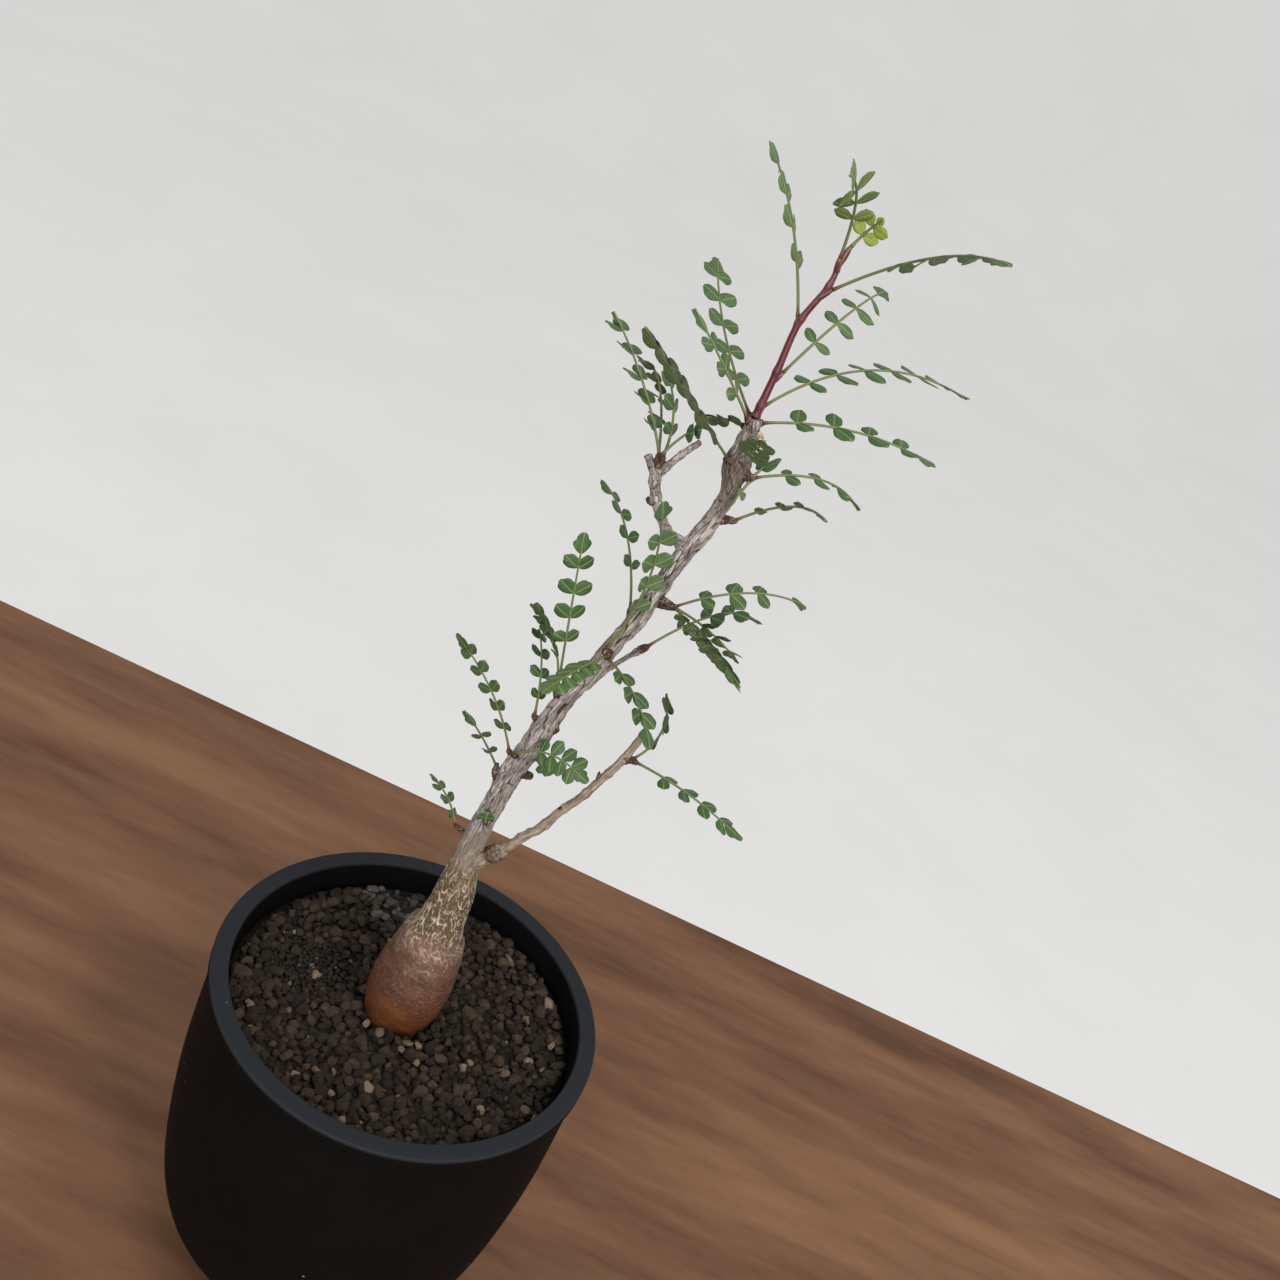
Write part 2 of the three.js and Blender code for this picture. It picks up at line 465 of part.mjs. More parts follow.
// A leaf as one thin blade cut to its stalk: a strip down the middle and leaflets on both edges.
function makeLeaf(row) {
  const [name, , root, setOff, tipWay, length, pairs, first, last, size, wide, spread, fold, twist, faces] = row;
  const start = heading(setOff);
  const end = heading(tipWay);
  const facing = heading(faces);
  const path = [new THREE.Vector3(...root).addScaledVector(start, LEAF_GAP)];
  const ways = [];
  for (let i = 0; i < PATH_STEPS; i++) {
    const way = start.clone().lerp(end, (i + 0.5) / PATH_STEPS).normalize();
    ways.push(way);
    path.push(path[i].clone().addScaledVector(way, length / PATH_STEPS));
  }
  const frameAt = (distance) => {
    const at = THREE.MathUtils.clamp((distance / length) * PATH_STEPS, 0, PATH_STEPS);
    const step = Math.min(Math.floor(at), PATH_STEPS - 1);
    const centre = path[step].clone().lerp(path[step + 1], at - step);
    const along = start.clone().lerp(end, at / PATH_STEPS).normalize();
    const up = facing.clone().addScaledVector(along, -facing.dot(along)).normalize();
    return { centre, along, up, side: new THREE.Vector3().crossVectors(along, up) };
  };

  const top = [];
  const bottom = [];
  const triangles = [];
  const leftEdge = [];
  const rightEdge = [];
  const point = (place, up, thickness) => {
    top.push(place.clone().addScaledVector(up, thickness / 2));
    bottom.push(place.clone().addScaledVector(up, -thickness / 2));
    return top.length - 1;
  };
  const station = (distance, stalk) => {
    const { centre, up, side } = frameAt(distance);
    const left = point(centre.clone().addScaledVector(side, -stalk / 2), up, stalk);
    const right = point(centre.clone().addScaledVector(side, stalk / 2), up, stalk);
    return [left, right];
  };
  const strip = ([l0, r0], [l1, r1]) => triangles.push([l0, r0, r1], [l0, r1, l1]);

  // One leaflet from the two stalk points that carry it; the outline is returned from foot to tip side.
  // Its half width keeps clear of the pair before it, of the pair or the end leaflet after it, and of
  // its own twin over the stalk.
  const leaflet = (near, far, distance, reach, hand, { before, after, ahead }) => {
    const { along, up, side } = frameAt(distance);
    const turn = THREE.MathUtils.degToRad(spread);
    const lift = THREE.MathUtils.degToRad(fold);
    const roll = THREE.MathUtils.degToRad(twist);
    const axis = along.clone().multiplyScalar(Math.cos(turn))
      .addScaledVector(side, hand * Math.sin(turn) * Math.cos(lift))
      .addScaledVector(up, Math.sin(turn) * Math.sin(lift));
    const flat = along.clone().addScaledVector(axis, -along.dot(axis)).normalize();
    const across = flat.clone().multiplyScalar(Math.cos(roll))
      .addScaledVector(new THREE.Vector3().crossVectors(flat, axis), hand * Math.sin(roll));
    const face = new THREE.Vector3().crossVectors(across, axis).multiplyScalar(-hand);
    const foot = top[near].clone().lerp(top[far], 0.5).addScaledVector(up, -STALK_END / 2);
    const place = ([u, v], way) => {
      const leaning = way * Math.cos(turn);
      const stalkSide = (u * reach * Math.sin(turn) - LEAFLET_GAP) / Math.max(leaning, 0.05);
      const corner = u < 0.5 ? (ahead - u * reach * Math.cos(turn)) / Math.sin(turn) : Infinity;
      const half = Math.max(0.2, Math.min(v * wide * reach, stalkSide, way > 0 ? Math.min(after, corner) : before));
      return point(foot.clone().addScaledVector(axis, u * reach).addScaledVector(across, way * half), face, BLADE);
    };
    const lower = LEAFLET.slice(0, 2).map((spot) => place(spot, -1));
    const notch = place([0.9, 0], 1);
    const upper = LEAFLET.slice(0, 2).reverse().map((spot) => place(spot, 1));
    const outline = [near, ...lower, notch, ...upper, far];
    const fan = [
      [notch, upper[0], upper[1]], [notch, upper[1], far], [notch, far, near],
      [notch, near, lower[0]], [notch, lower[0], lower[1]],
    ];
    for (const [a, b, c] of fan) {
      triangles.push(hand > 0 ? [a, b, c] : [c, b, a]);
    }
    return outline;
  };

  const firstPair = length * first;
  const lastPair = length * last;
  const lobes = Math.min(size * 1.15, length - lastPair - 1.6);
  const tipStart = length - lobes;
  const slant = THREE.MathUtils.degToRad(spread);
  const pitch = pairs > 1 ? (lastPair - firstPair) / (pairs - 1) : length;
  const betweenPairs = (pitch * Math.sin(slant) - LEAFLET_GAP) / 2;
  const beforeTip = Math.min(
    ...TERMINAL.slice(0, 2).map(([u, v]) =>
      (tipStart - lastPair + u * lobes) * Math.sin(slant) - v * lobes * Math.cos(slant) - LEAFLET_GAP),
  );
  const seat = 0.9;
  let previous = station(0, RACHIS);
  leftEdge.push(previous[0]);
  rightEdge.push(previous[1]);
  if (firstPair > 9) {
    const bend = station(firstPair / 2, RACHIS);
    strip(previous, bend);
    leftEdge.push(bend[0]);
    rightEdge.push(bend[1]);
    previous = bend;
  }
  for (let i = 0; i < pairs; i++) {
    const share = pairs === 1 ? 1 : i / (pairs - 1);
    const distance = firstPair + (lastPair - firstPair) * share;
    const stalk = THREE.MathUtils.lerp(RACHIS, STALK_END, share);
    const near = station(distance - seat / 2, stalk);
    const far = station(distance + seat / 2, stalk);
    strip(previous, near);
    strip(near, far);
    const reach = size * (0.72 + 0.28 * Math.sin(Math.PI * (0.15 + 0.6 * share)));
    const room = i === pairs - 1
      ? { before: betweenPairs, after: beforeTip, ahead: tipStart - lastPair - LEAFLET_GAP }
      : { before: betweenPairs, after: betweenPairs, ahead: pitch - seat };
    leftEdge.push(...leaflet(near[0], far[0], distance, reach, -1, room));
    rightEdge.push(...leaflet(near[1], far[1], distance, reach, 1, room));
    previous = far;
  }
  const tip = station(tipStart, STALK_END);
  strip(previous, tip);
  leftEdge.push(tip[0]);
  rightEdge.push(tip[1]);

  // The end leaflet, three lobes in one blade.
  const { centre, along, up, side } = frameAt(tipStart);
  const lobe = ([u, v], hand) =>
    point(
      centre.clone().addScaledVector(along, u * lobes).addScaledVector(side, hand * v * lobes)
        .addScaledVector(up, v * lobes * 0.15),
      up, BLADE,
    );
  const leftLobes = TERMINAL.slice(0, 4).map((spot) => lobe(spot, -1));
  const end0 = lobe(TERMINAL[4], 1);
  const rightLobes = TERMINAL.slice(0, 4).map((spot) => lobe(spot, 1));
  strip([leftLobes[2], rightLobes[2]], [leftLobes[3], end0]);
  triangles.push([rightLobes[2], rightLobes[3], end0]);
  strip([tip[0], tip[1]], [leftLobes[2], rightLobes[2]]);
  triangles.push([tip[0], leftLobes[2], leftLobes[0]], [leftLobes[0], leftLobes[2], leftLobes[1]]);
  triangles.push([tip[1], rightLobes[0], rightLobes[2]], [rightLobes[0], rightLobes[1], rightLobes[2]]);
  leftEdge.push(...leftLobes, end0);
  rightEdge.push(...rightLobes);

  // Both faces and the edge between them.
  const rim = [...rightEdge, ...leftEdge.reverse()];
  const count = top.length;
  const index = [];
  for (const [a, b, c] of triangles) {
    index.push(a, b, c, count + a, count + c, count + b);
  }
  rim.forEach((a, i) => {
    const b = rim[(i + 1) % rim.length];
    index.push(a, count + b, b, a, count + a, count + b);
  });
  const geometry = new THREE.BufferGeometry().setFromPoints([...top, ...bottom]);
  geometry.setIndex(index);
  const body = solid(geometry);
  const closed = body.volume() < 0 ? flipped(geometry) : body;
  addMesh(name, shell(closed), name === "leaf_tip_young" ? "young" : "leaf");
}

const potInside = makePot();
makeSoil(potInside);
makeWood();
makeShoot();
LEAVES.forEach(makeLeaf);

export default tree;
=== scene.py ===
import bpy
import numpy as np
from mathutils import Matrix, Vector


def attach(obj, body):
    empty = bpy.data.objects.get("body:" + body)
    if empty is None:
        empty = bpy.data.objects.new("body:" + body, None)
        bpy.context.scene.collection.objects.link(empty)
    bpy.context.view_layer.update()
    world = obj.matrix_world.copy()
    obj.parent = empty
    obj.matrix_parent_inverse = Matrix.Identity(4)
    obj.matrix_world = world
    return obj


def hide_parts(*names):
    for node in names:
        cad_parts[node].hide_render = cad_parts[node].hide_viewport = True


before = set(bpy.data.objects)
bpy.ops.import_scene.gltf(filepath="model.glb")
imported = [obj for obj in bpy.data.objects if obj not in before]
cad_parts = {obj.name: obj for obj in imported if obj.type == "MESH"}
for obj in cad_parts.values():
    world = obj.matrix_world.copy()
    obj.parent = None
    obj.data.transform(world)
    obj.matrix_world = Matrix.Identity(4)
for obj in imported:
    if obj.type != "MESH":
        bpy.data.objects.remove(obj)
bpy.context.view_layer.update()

# Pot: one moulding of matt black plastic with a flat rim, a narrow lip band and a rounded-under foot.
# It is turned from one profile, and four drain holes are bored through its floor.
MM = 0.001
POT_HEIGHT = 140.0
RIM_RADIUS = 75.0
MOUTH_RADIUS = 68.3
LIP_HEIGHT = 4.5
FOOT_RADIUS = 46.0
FLOOR_THICKNESS = 5.0
WALL = 5.6
LIP_EDGE = 0.35
OUTER_ROUND = 0.75
INNER_ROUND = 0.45
DRAIN_HOLES = 4
DRAIN_RADIUS = 4
DRAIN_RING_RADIUS = 26
POT_SECTORS = 160
POT_SIDE = [(47.2, 0.9), (55.5, 10), (63.6, 20), (69, 35), (72.4, 60), (74.2, 92), (73.6, 134.7)]
POT_COLOUR = (0.0019, 0.0018, 0.0018)
POT_CLOUD_COLOUR = (0.0036, 0.0032, 0.0031)
# Painted sheen: the grey that the flat top of the rim shows under the light from above.
POT_RIM_SHEEN_COLOUR = (0.0175, 0.0195, 0.0225)


def smooth_line(stations, count):
    """Catmull-Rom line through the stations: between two of them
    p(t) = (2 b + (c - a) t + (2 a - 5 b + 4 c - d) t^2 + (3 b - a - 3 c + d) t^3) / 2,
    with the end stations mirrored outwards; count points at even steps of the station number."""
    s = np.asarray(stations, float)
    s = np.vstack([2 * s[0] - s[1], s, 2 * s[-1] - s[-2]])
    t = np.linspace(0, len(s) - 3, count)
    i = np.minimum(t.astype(int), len(s) - 4)
    t = (t - i)[:, None]
    a, b, c, d = s[i], s[i + 1], s[i + 2], s[i + 3]
    return (2 * b + (c - a) * t + (2 * a - 5 * b + 4 * c - d) * t**2 + (3 * b - a - 3 * c + d) * t**3) / 2


def band_faces(rows, columns, wrap):
    """Four-sided faces of a grid of rows by columns, point (i, j) being number i * columns + j;
    with wrap the last column joins the first."""
    i, j = np.meshgrid(np.arange(rows - 1), np.arange(columns if wrap else columns - 1), indexing="ij")
    k = (j + 1) % columns
    near, far = i * columns, (i + 1) * columns
    return np.stack([near + j, near + k, far + k, far + j], -1).reshape(-1, 4)


def piece(name, points, faces, finishes, nodes, smooth=True, finish_of_face=None):
    """A mesh object from points in millimetres and a list of face arrays; it rides on the root,
    stands for the named solids and takes the finishes given, one slot each."""
    counts = np.concatenate([np.full(len(f), f.shape[1]) for f in faces])
    corners = np.concatenate([f.reshape(-1) for f in faces]).astype(np.int32)
    mesh = bpy.data.meshes.new(name)
    mesh.vertices.add(len(points))
    mesh.vertices.foreach_set("co", (np.asarray(points, float) * MM).astype(np.float32).reshape(-1))
    mesh.loops.add(len(corners))
    mesh.loops.foreach_set("vertex_index", corners)
    mesh.polygons.add(len(counts))
    mesh.polygons.foreach_set("loop_start", np.concatenate([[0], np.cumsum(counts)[:-1]]).astype(np.int32))
    mesh.update(calc_edges=True)
    mesh.polygons.foreach_set("use_smooth", np.full(len(counts), smooth))
    for finish in finishes:
        mesh.materials.append(finish)
    if finish_of_face is not None:
        mesh.polygons.foreach_set("material_index", np.asarray(finish_of_face, np.int32))
    mesh.validate()
    made = bpy.data.objects.new(name, mesh)
    bpy.context.scene.collection.objects.link(made)
    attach(made, "root")
    if nodes:
        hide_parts(*nodes)
    return made


def note(made, name, values):
    """Keeps one number, or one triple of numbers, for each point of a mesh, for its material."""
    values = np.asarray(values, np.float32)
    kind = "FLOAT" if values.ndim == 1 else "FLOAT_VECTOR"
    field = made.data.attributes.new(name, kind, "POINT")
    field.data.foreach_set("value" if values.ndim == 1 else "vector", values.reshape(-1))


def turned(profile, sectors):
    """Surface of revolution (r cos a, r sin a, z) of a profile of (r, z) that starts and ends on the
    axis; a runs once round in even steps and each end is closed by triangles to one point."""
    rz = np.asarray(profile, float)
    a = np.linspace(0, 2 * np.pi, sectors, endpoint=False)
    body = rz[1:-1]
    r = body[:, :1]
    rings = np.stack([r * np.cos(a), r * np.sin(a), body[:, 1:] + 0 * a], -1).reshape(-1, 3)
    points = np.vstack([rings, [[0, 0, rz[0, 1]], [0, 0, rz[-1, 1]]]])
    j = np.arange(sectors)
    k = (j + 1) % sectors
    first, last = len(rings), len(rings) + 1
    top = (len(body) - 1) * sectors
    ends = np.vstack([np.stack([np.full(sectors, first), k, j], -1),
                      np.stack([np.full(sectors, last), top + j, top + k], -1)])
    return points, [band_faces(len(body), sectors, True), ends]


def new_finish(name, roughness, specular=0.5):
    """A material with the standard surface shader, and its node tree to build on."""
    finish = bpy.data.materials.new(name)
    finish.use_nodes = True
    shader = finish.node_tree.nodes["Principled BSDF"]
    shader.inputs["Roughness"].default_value = roughness
    shader.inputs["Specular IOR Level"].default_value = specular
    return finish, finish.node_tree, shader


def set_socket(tree, socket, value):
    """Joins a socket to another node's output, or gives it a number or a colour."""
    if isinstance(value, bpy.types.NodeSocket):
        tree.links.new(value, socket)
    else:
        socket.default_value = value


def add(tree, kind, settings=None, **inputs):
    """One node of a material: settings are its own options, inputs are numbers, colours or links."""
    node = tree.nodes.new("ShaderNode" + kind)
    for key, value in (settings or {}).items():
        setattr(node, key, value)
    for key, value in inputs.items():
        set_socket(tree, node.inputs[int(key[1:]) if key[0] == "_" else key.replace("_", " ")], value)
    return node


def rgba(colour):
    """A colour with full cover, from its three numbers or from one for a grey."""
    return (colour, colour, colour, 1) if np.isscalar(colour) else (*colour, 1)


def blend_by(tree, factor, stops):
    """Colours laid out along a factor from 0 to 1: stops are (place, colour)."""
    ramp = add(tree, "ValToRGB", Fac=factor)
    while len(ramp.color_ramp.elements) > 1:
        ramp.color_ramp.elements.remove(ramp.color_ramp.elements[-1])
    for i, (place, colour) in enumerate(stops):
        spot = ramp.color_ramp.elements[0] if i == 0 else ramp.color_ramp.elements.new(place)
        spot.position = place
        spot.color = rgba(colour)
    return ramp.outputs["Color"]


def mixed(tree, factor, first, second):
    """Two colours mixed by a factor."""
    node = add(tree, "Mix", {"data_type": "RGBA"})
    set_socket(tree, node.inputs[0], factor)
    for socket, value in ((node.inputs[6], first), (node.inputs[7], second)):
        set_socket(tree, socket, value if isinstance(value, bpy.types.NodeSocket) else rgba(value))
    return node.outputs[2]


def worked(tree, way, first, second=0.0, third=0.0):
    """One sum on numbers."""
    return add(tree, "Math", {"operation": way}, _0=first, _1=second, _2=third).outputs[0]


def noise(tree, place, scale, detail, roughness=0.5):
    """Cloudy noise between 0 and 1, with scale clouds to the metre."""
    return add(tree, "TexNoise", Vector=place, Scale=scale, Detail=detail, Roughness=roughness).outputs["Fac"]


def cover(tree, shader, base, height, strength, distance):
    """Gives a surface its colour, and fine bumps of a strength and a depth in metres."""
    tree.links.new(base, shader.inputs["Base Color"])
    bump = add(tree, "Bump", Strength=strength, Distance=distance, Height=height)
    tree.links.new(bump.outputs["Normal"], shader.inputs["Normal"])


def pot_plastic():
    """Matt black plastic: a faint cloudiness, a fine grain and a little dust, and the flat top of the rim
    painted greyer: a painted sheen of the light from above.
    """
    finish, tree, shader = new_finish("pot_plastic", 0.55, 0.06)
    place = add(tree, "TexCoord").outputs["Object"]
    height = add(tree, "SeparateXYZ", Vector=place).outputs["Z"]
    cloud = noise(tree, place, 38.0, 5.0, 0.6)
    # The top of the rim, above about 138 mm, is painted grey: a painted sheen of the light from above, not a
    # colour of the plastic.
    rim_sheen = blend_by(tree, worked(tree, "MULTIPLY_ADD", height, 250.0, -34.2), [(0.35, 0), (0.62, 1)])
    base = mixed(tree, rim_sheen, mixed(tree, cloud, POT_COLOUR, POT_CLOUD_COLOUR), POT_RIM_SHEEN_COLOUR)
    speck = add(tree, "TexVoronoi", Vector=place, Scale=115.0).outputs["Distance"]
    rare = noise(tree, place, 27.0, 2.0)
    dust = worked(tree, "MULTIPLY", worked(tree, "LESS_THAN", speck, 0.055),
                  worked(tree, "GREATER_THAN", rare, 0.64))
    base = mixed(tree, worked(tree, "MULTIPLY", dust, 0.5), base, (0.33, 0.32, 0.30))
    tree.links.new(worked(tree, "MULTIPLY_ADD", cloud, 0.22, 0.52), shader.inputs["Roughness"])
    cover(tree, shader, base, noise(tree, place, 1700.0, 2.0), 0.12, 0.0003)
    return finish


side = smooth_line(POT_SIDE, 64)
inner = side[(side[:, 1] > FLOOR_THICKNESS + 4)] - [WALL, 0]
inner[:, 0] = np.minimum(inner[:, 0], MOUTH_RADIUS - 0.6)
lip_turn = np.linspace(0, np.pi / 2, 5)
pot_profile = np.vstack([
    [(0, 0), (FOOT_RADIUS - 0.6, 0), (FOOT_RADIUS, 0.15)],
    side,
    [(RIM_RADIUS - LIP_EDGE, POT_HEIGHT - LIP_HEIGHT), (RIM_RADIUS, POT_HEIGHT - LIP_HEIGHT + LIP_EDGE)],
    np.stack([RIM_RADIUS - OUTER_ROUND + OUTER_ROUND * np.cos(lip_turn),
              POT_HEIGHT - OUTER_ROUND + OUTER_ROUND * np.sin(lip_turn)], -1),
    [(RIM_RADIUS - 3, POT_HEIGHT), (MOUTH_RADIUS + 2 * INNER_ROUND, POT_HEIGHT)],
    np.stack([MOUTH_RADIUS + INNER_ROUND - INNER_ROUND * np.sin(lip_turn),
              POT_HEIGHT - INNER_ROUND + INNER_ROUND * np.cos(lip_turn)], -1),
    inner[::-1],
    [(FOOT_RADIUS - 4, FLOOR_THICKNESS), (0, FLOOR_THICKNESS)],
])
pot_points, pot_faces = turned(pot_profile, POT_SECTORS)
pot = piece("pot_moulding", pot_points, pot_faces, [pot_plastic()], ["pot"])
for hole in range(DRAIN_HOLES):
    angle = (hole + 0.5) * 2 * np.pi / DRAIN_HOLES
    bore_points, bore_faces = turned([(0, -5), (DRAIN_RADIUS, -5), (DRAIN_RADIUS, 12), (0, 12)], 32)
    bore_points = bore_points + [DRAIN_RING_RADIUS * np.cos(angle), DRAIN_RING_RADIUS * np.sin(angle), 0]
    bore_mesh = bpy.data.meshes.new("bore")
    bore_mesh.from_pydata((bore_points * MM).tolist(), [], [f.tolist() for part in bore_faces for f in part])
    bore = bpy.data.objects.new("bore", bore_mesh)
    bpy.context.scene.collection.objects.link(bore)
    cut = pot.modifiers.new("drain", "BOOLEAN")
    cut.operation = "DIFFERENCE"
    cut.object = bore
    with bpy.context.temp_override(object=pot, active_object=pot):
        bpy.ops.object.modifier_apply(modifier=cut.name)
    bpy.data.objects.remove(bore)
pot.data.polygons.foreach_set("use_smooth", np.ones(len(pot.data.polygons), bool))
pot.data.set_sharp_from_angle(angle=np.radians(38))

# Potting grit: a bed of loose angular grains of dark brown clay and lava, a few of them tan or grey-blue,
# with finer grit between them. They lie on one plug of soil that fills the pot.
SOIL_LEVEL = 129.0
SOIL_GAP = 0.3
BED_RADIUS = 66.8
CAUDEX_X = -1.8
CAUDEX_CLEAR = 14.1
PEBBLE_POINTS = 26
CAUDEX = [(0, 83, 1.2), (0, 97, 4.2), (-0.5, 113, 9.5), (-1.2, 123, 12.4), (-1.8, 130, 13.8),
          (-1.8, 139, 15.2), (-1.2, 148, 15.2), (-0.6, 157, 13.7), (-0.6, 165, 12.1), (-0.9, 170, 10.7),
          (-0.4, 174, 9.0), (0.1, 182, 7.9), (0.2, 190, 7.3), (-0.3, 198, 6.3), (-0.8, 206, 5.2),
          (-0.9, 215, 4.7)]
GRIT_COLOURS = [(0.0, (0.010, 0.0070, 0.0045)), (0.3, (0.025, 0.0165, 0.010)), (0.62, (0.046, 0.031, 0.019)),
                (0.8, (0.070, 0.048, 0.030)), (0.86, (0.16, 0.110, 0.068)), (0.93, (0.25, 0.180, 0.115)),
                (0.96, (0.044, 0.042, 0.039)), (1.0, (0.108, 0.105, 0.099))]
# Painted shade for the hollows of the grains, where their bump is low.
GRIT_HOLLOW_SHADE_COLOUR = (0.004, 0.003, 0.002)


def ripple(points, wavelength, seed, waves=9):
    """Smooth unevenness between about -1 and 1: the mean of sines sin(k . p + f) whose directions and
    phases are drawn once and whose wavelengths lie round the one given."""
    draw = np.random.default_rng(seed)
    k = draw.normal(size=(waves, points.shape[-1]))
    longer = draw.uniform(0.6, 1.6, (waves, 1))
    k *= (2 * np.pi / wavelength) * longer / np.linalg.norm(k, axis=1, keepdims=True)
    return np.sin(points @ k.T + draw.uniform(0, 6.28, waves)).sum(-1) / np.sqrt(waves)


def kept(tree, name, output="Fac"):
    """The numbers, or with the output Vector the triples, noted under a name for each point."""
    return add(tree, "Attribute", {"attribute_name": name}).outputs[output]


def grit_finish():
    """Porous grit: each grain has its own shade on the colour scale, with painted shade in the low places of
    its bump, pits and a rough bump.
    """
    finish, tree, shader = new_finish("potting_grit", 0.9, 0.25)
    place = add(tree, "TexCoord").outputs["Object"]
    mottle = noise(tree, place, 900.0, 4.0, 0.65)
    base = blend_by(tree, kept(tree, "shade"), GRIT_COLOURS)
    # Darker where the bump is low: painted shade in the hollows.
    hollow_shade = mixed(tree, 0.55, base, GRIT_HOLLOW_SHADE_COLOUR)
    base = mixed(tree, worked(tree, "MULTIPLY_ADD", mottle, 1.5, -0.35), hollow_shade, base)
    pits = add(tree, "TexVoronoi", {"feature": "SMOOTH_F1"}, Vector=place, Scale=1500.0).outputs["Distance"]
    cover(tree, shader, base, worked(tree, "ADD", worked(tree, "MULTIPLY", pits, 0.5), mottle), 0.7, 0.0004)
    return finish


pit = [(r + abs(x) + 0.6, z) for x, z, r in CAUDEX if z < SOIL_LEVEL - 1]
plug_profile = np.vstack([
    [(0, FLOOR_THICKNESS + SOIL_GAP)],
    [(r - SOIL_GAP, z) for r, z in inner[::3] if z < SOIL_LEVEL - 4],
    [(MOUTH_RADIUS - 0.9, SOIL_LEVEL - 2.2)], [(r, SOIL_LEVEL - 1.9) for r in (60, 40, 18)],
    pit[::-1], [(0, pit[0][1] - 0.8)],
])
grit = grit_finish()
plug_points, plug_faces = turned(plug_profile, 96)
plug = piece("soil_plug", plug_points, plug_faces, [grit], ["soil"])
# The plug takes shade 0, the darkest grit colour: the soil's own dark brown, made darker still as painted
# shade in the gaps between the grains.
note(plug, "shade", np.zeros(len(plug_points)))


def pebble():
    """A cube of 3 x 3 points on each side, blown out to a ball: points (26, 3) and 24 four-sided faces."""
    line = np.array([-1.0, 0, 1])
    cells = np.stack(np.meshgrid(line, line, line, indexing="ij"), -1).reshape(-1, 3)
    number = np.full(27, -1)
    shell = np.abs(cells).max(1) > 0.5
    number[shell] = np.arange(PEBBLE_POINTS)
    index = np.arange(27).reshape(3, 3, 3)
    faces = []
    for axis in range(3):
        for end, turn in ((0, -1), (2, 1)):
            sheet = index.take(end, axis=axis)
            if axis == 1:
                turn = -turn
            quad = np.stack([sheet[:-1, :-1], sheet[1:, :-1], sheet[1:, 1:], sheet[:-1, 1:]], -1)
            quad = quad.reshape(-1, 4)
            faces.append(quad if turn > 0 else quad[:, ::-1])
    cells = cells[shell]
    return cells / np.linalg.norm(cells, axis=1, keepdims=True), number[np.vstack(faces)]


def turns(draw, count):
    """Random rotation matrices, from unit quaternions."""
    q = draw.normal(size=(count, 4))
    w, x, y, z = (q / np.linalg.norm(q, axis=1, keepdims=True)).T
    return np.stack([1 - 2 * (y * y + z * z), 2 * (x * y - z * w), 2 * (x * z + y * w),
                     2 * (x * y + z * w), 1 - 2 * (x * x + z * z), 2 * (y * z - x * w),
                     2 * (x * z - y * w), 2 * (y * z + x * w), 1 - 2 * (x * x + y * y)], -1).reshape(-1, 3, 3)


def grains(centres, sizes, seed):
    """Stones: a ball's points stretched to three axes, cut back by six random planes
    (p - max(0, p.n - d) n), roughened a little and turned at random."""
    draw = np.random.default_rng(seed)
    ball, quads = pebble()
    count = len(centres)
    p = ball[None] * draw.uniform(0.92, 1.12, (count, PEBBLE_POINTS, 1))
    for cut in range(6):
        n = draw.normal(size=(count, 3))
        n /= np.linalg.norm(n, axis=1, keepdims=True)
        over = np.maximum(0, (p * n[:, None]).sum(-1) - draw.uniform(0.48, 0.82, (count, 1)))
        p = p - over[..., None] * n[:, None]
    p = p * (draw.uniform(0.72, 1.22, (count, 1, 3)) * sizes[:, None, None])
    p = np.einsum("gij,gvj->gvi", turns(draw, count), p) * [1, 1, 0.86] + centres[:, None]
    faces = (quads[None] + PEBBLE_POINTS * np.arange(count)[:, None, None]).reshape(-1, 4)
    return p.reshape(-1, 3), faces


def strewn(pitch, jitter, seed, outer):
    """Places on a disc, clear of the stem: a triangular lattice of the given pitch, each place moved at
    random by up to jitter pitches."""
    draw = np.random.default_rng(seed)
    i, j = np.meshgrid(np.arange(-90, 91), np.arange(-90, 91), indexing="ij")
    xy = np.stack([(i + 0.5 * (j % 2)) * pitch, j * pitch * 0.866], -1).reshape(-1, 2)
    xy = xy[np.hypot(*xy.T) < outer + pitch]
    xy = xy + draw.uniform(-jitter, jitter, xy.shape) * pitch
    from_stem = np.hypot(xy[:, 0] - CAUDEX_X, xy[:, 1])
    return xy[(np.hypot(*xy.T) < outer) & (from_stem > CAUDEX_CLEAR)], draw


# The tan stones, the grey ones and the patch of fine grit lie about where the photograph has them, as (x, y).
TAN_STONES = [(-14.4, -20.1), (-9.2, -17.9), (9.7, -13.8), (0.8, -22.5), (-29.5, -40.1), (-39.5, 8.1),
              (-29.5, 16.9), (41.4, 36.9), (26.9, 50.0), (31.6, -11.2), (-11.6, -15.6), (16, -20), (5, -19)]
GREY_STONES = [(-23.9, 56.1), (-27.1, 46.7), (-18, 52), (-31, 52)]
PATCH_X, PATCH_Y, PATCH_LONG, PATCH_BROAD = -38, 1, 17, 15
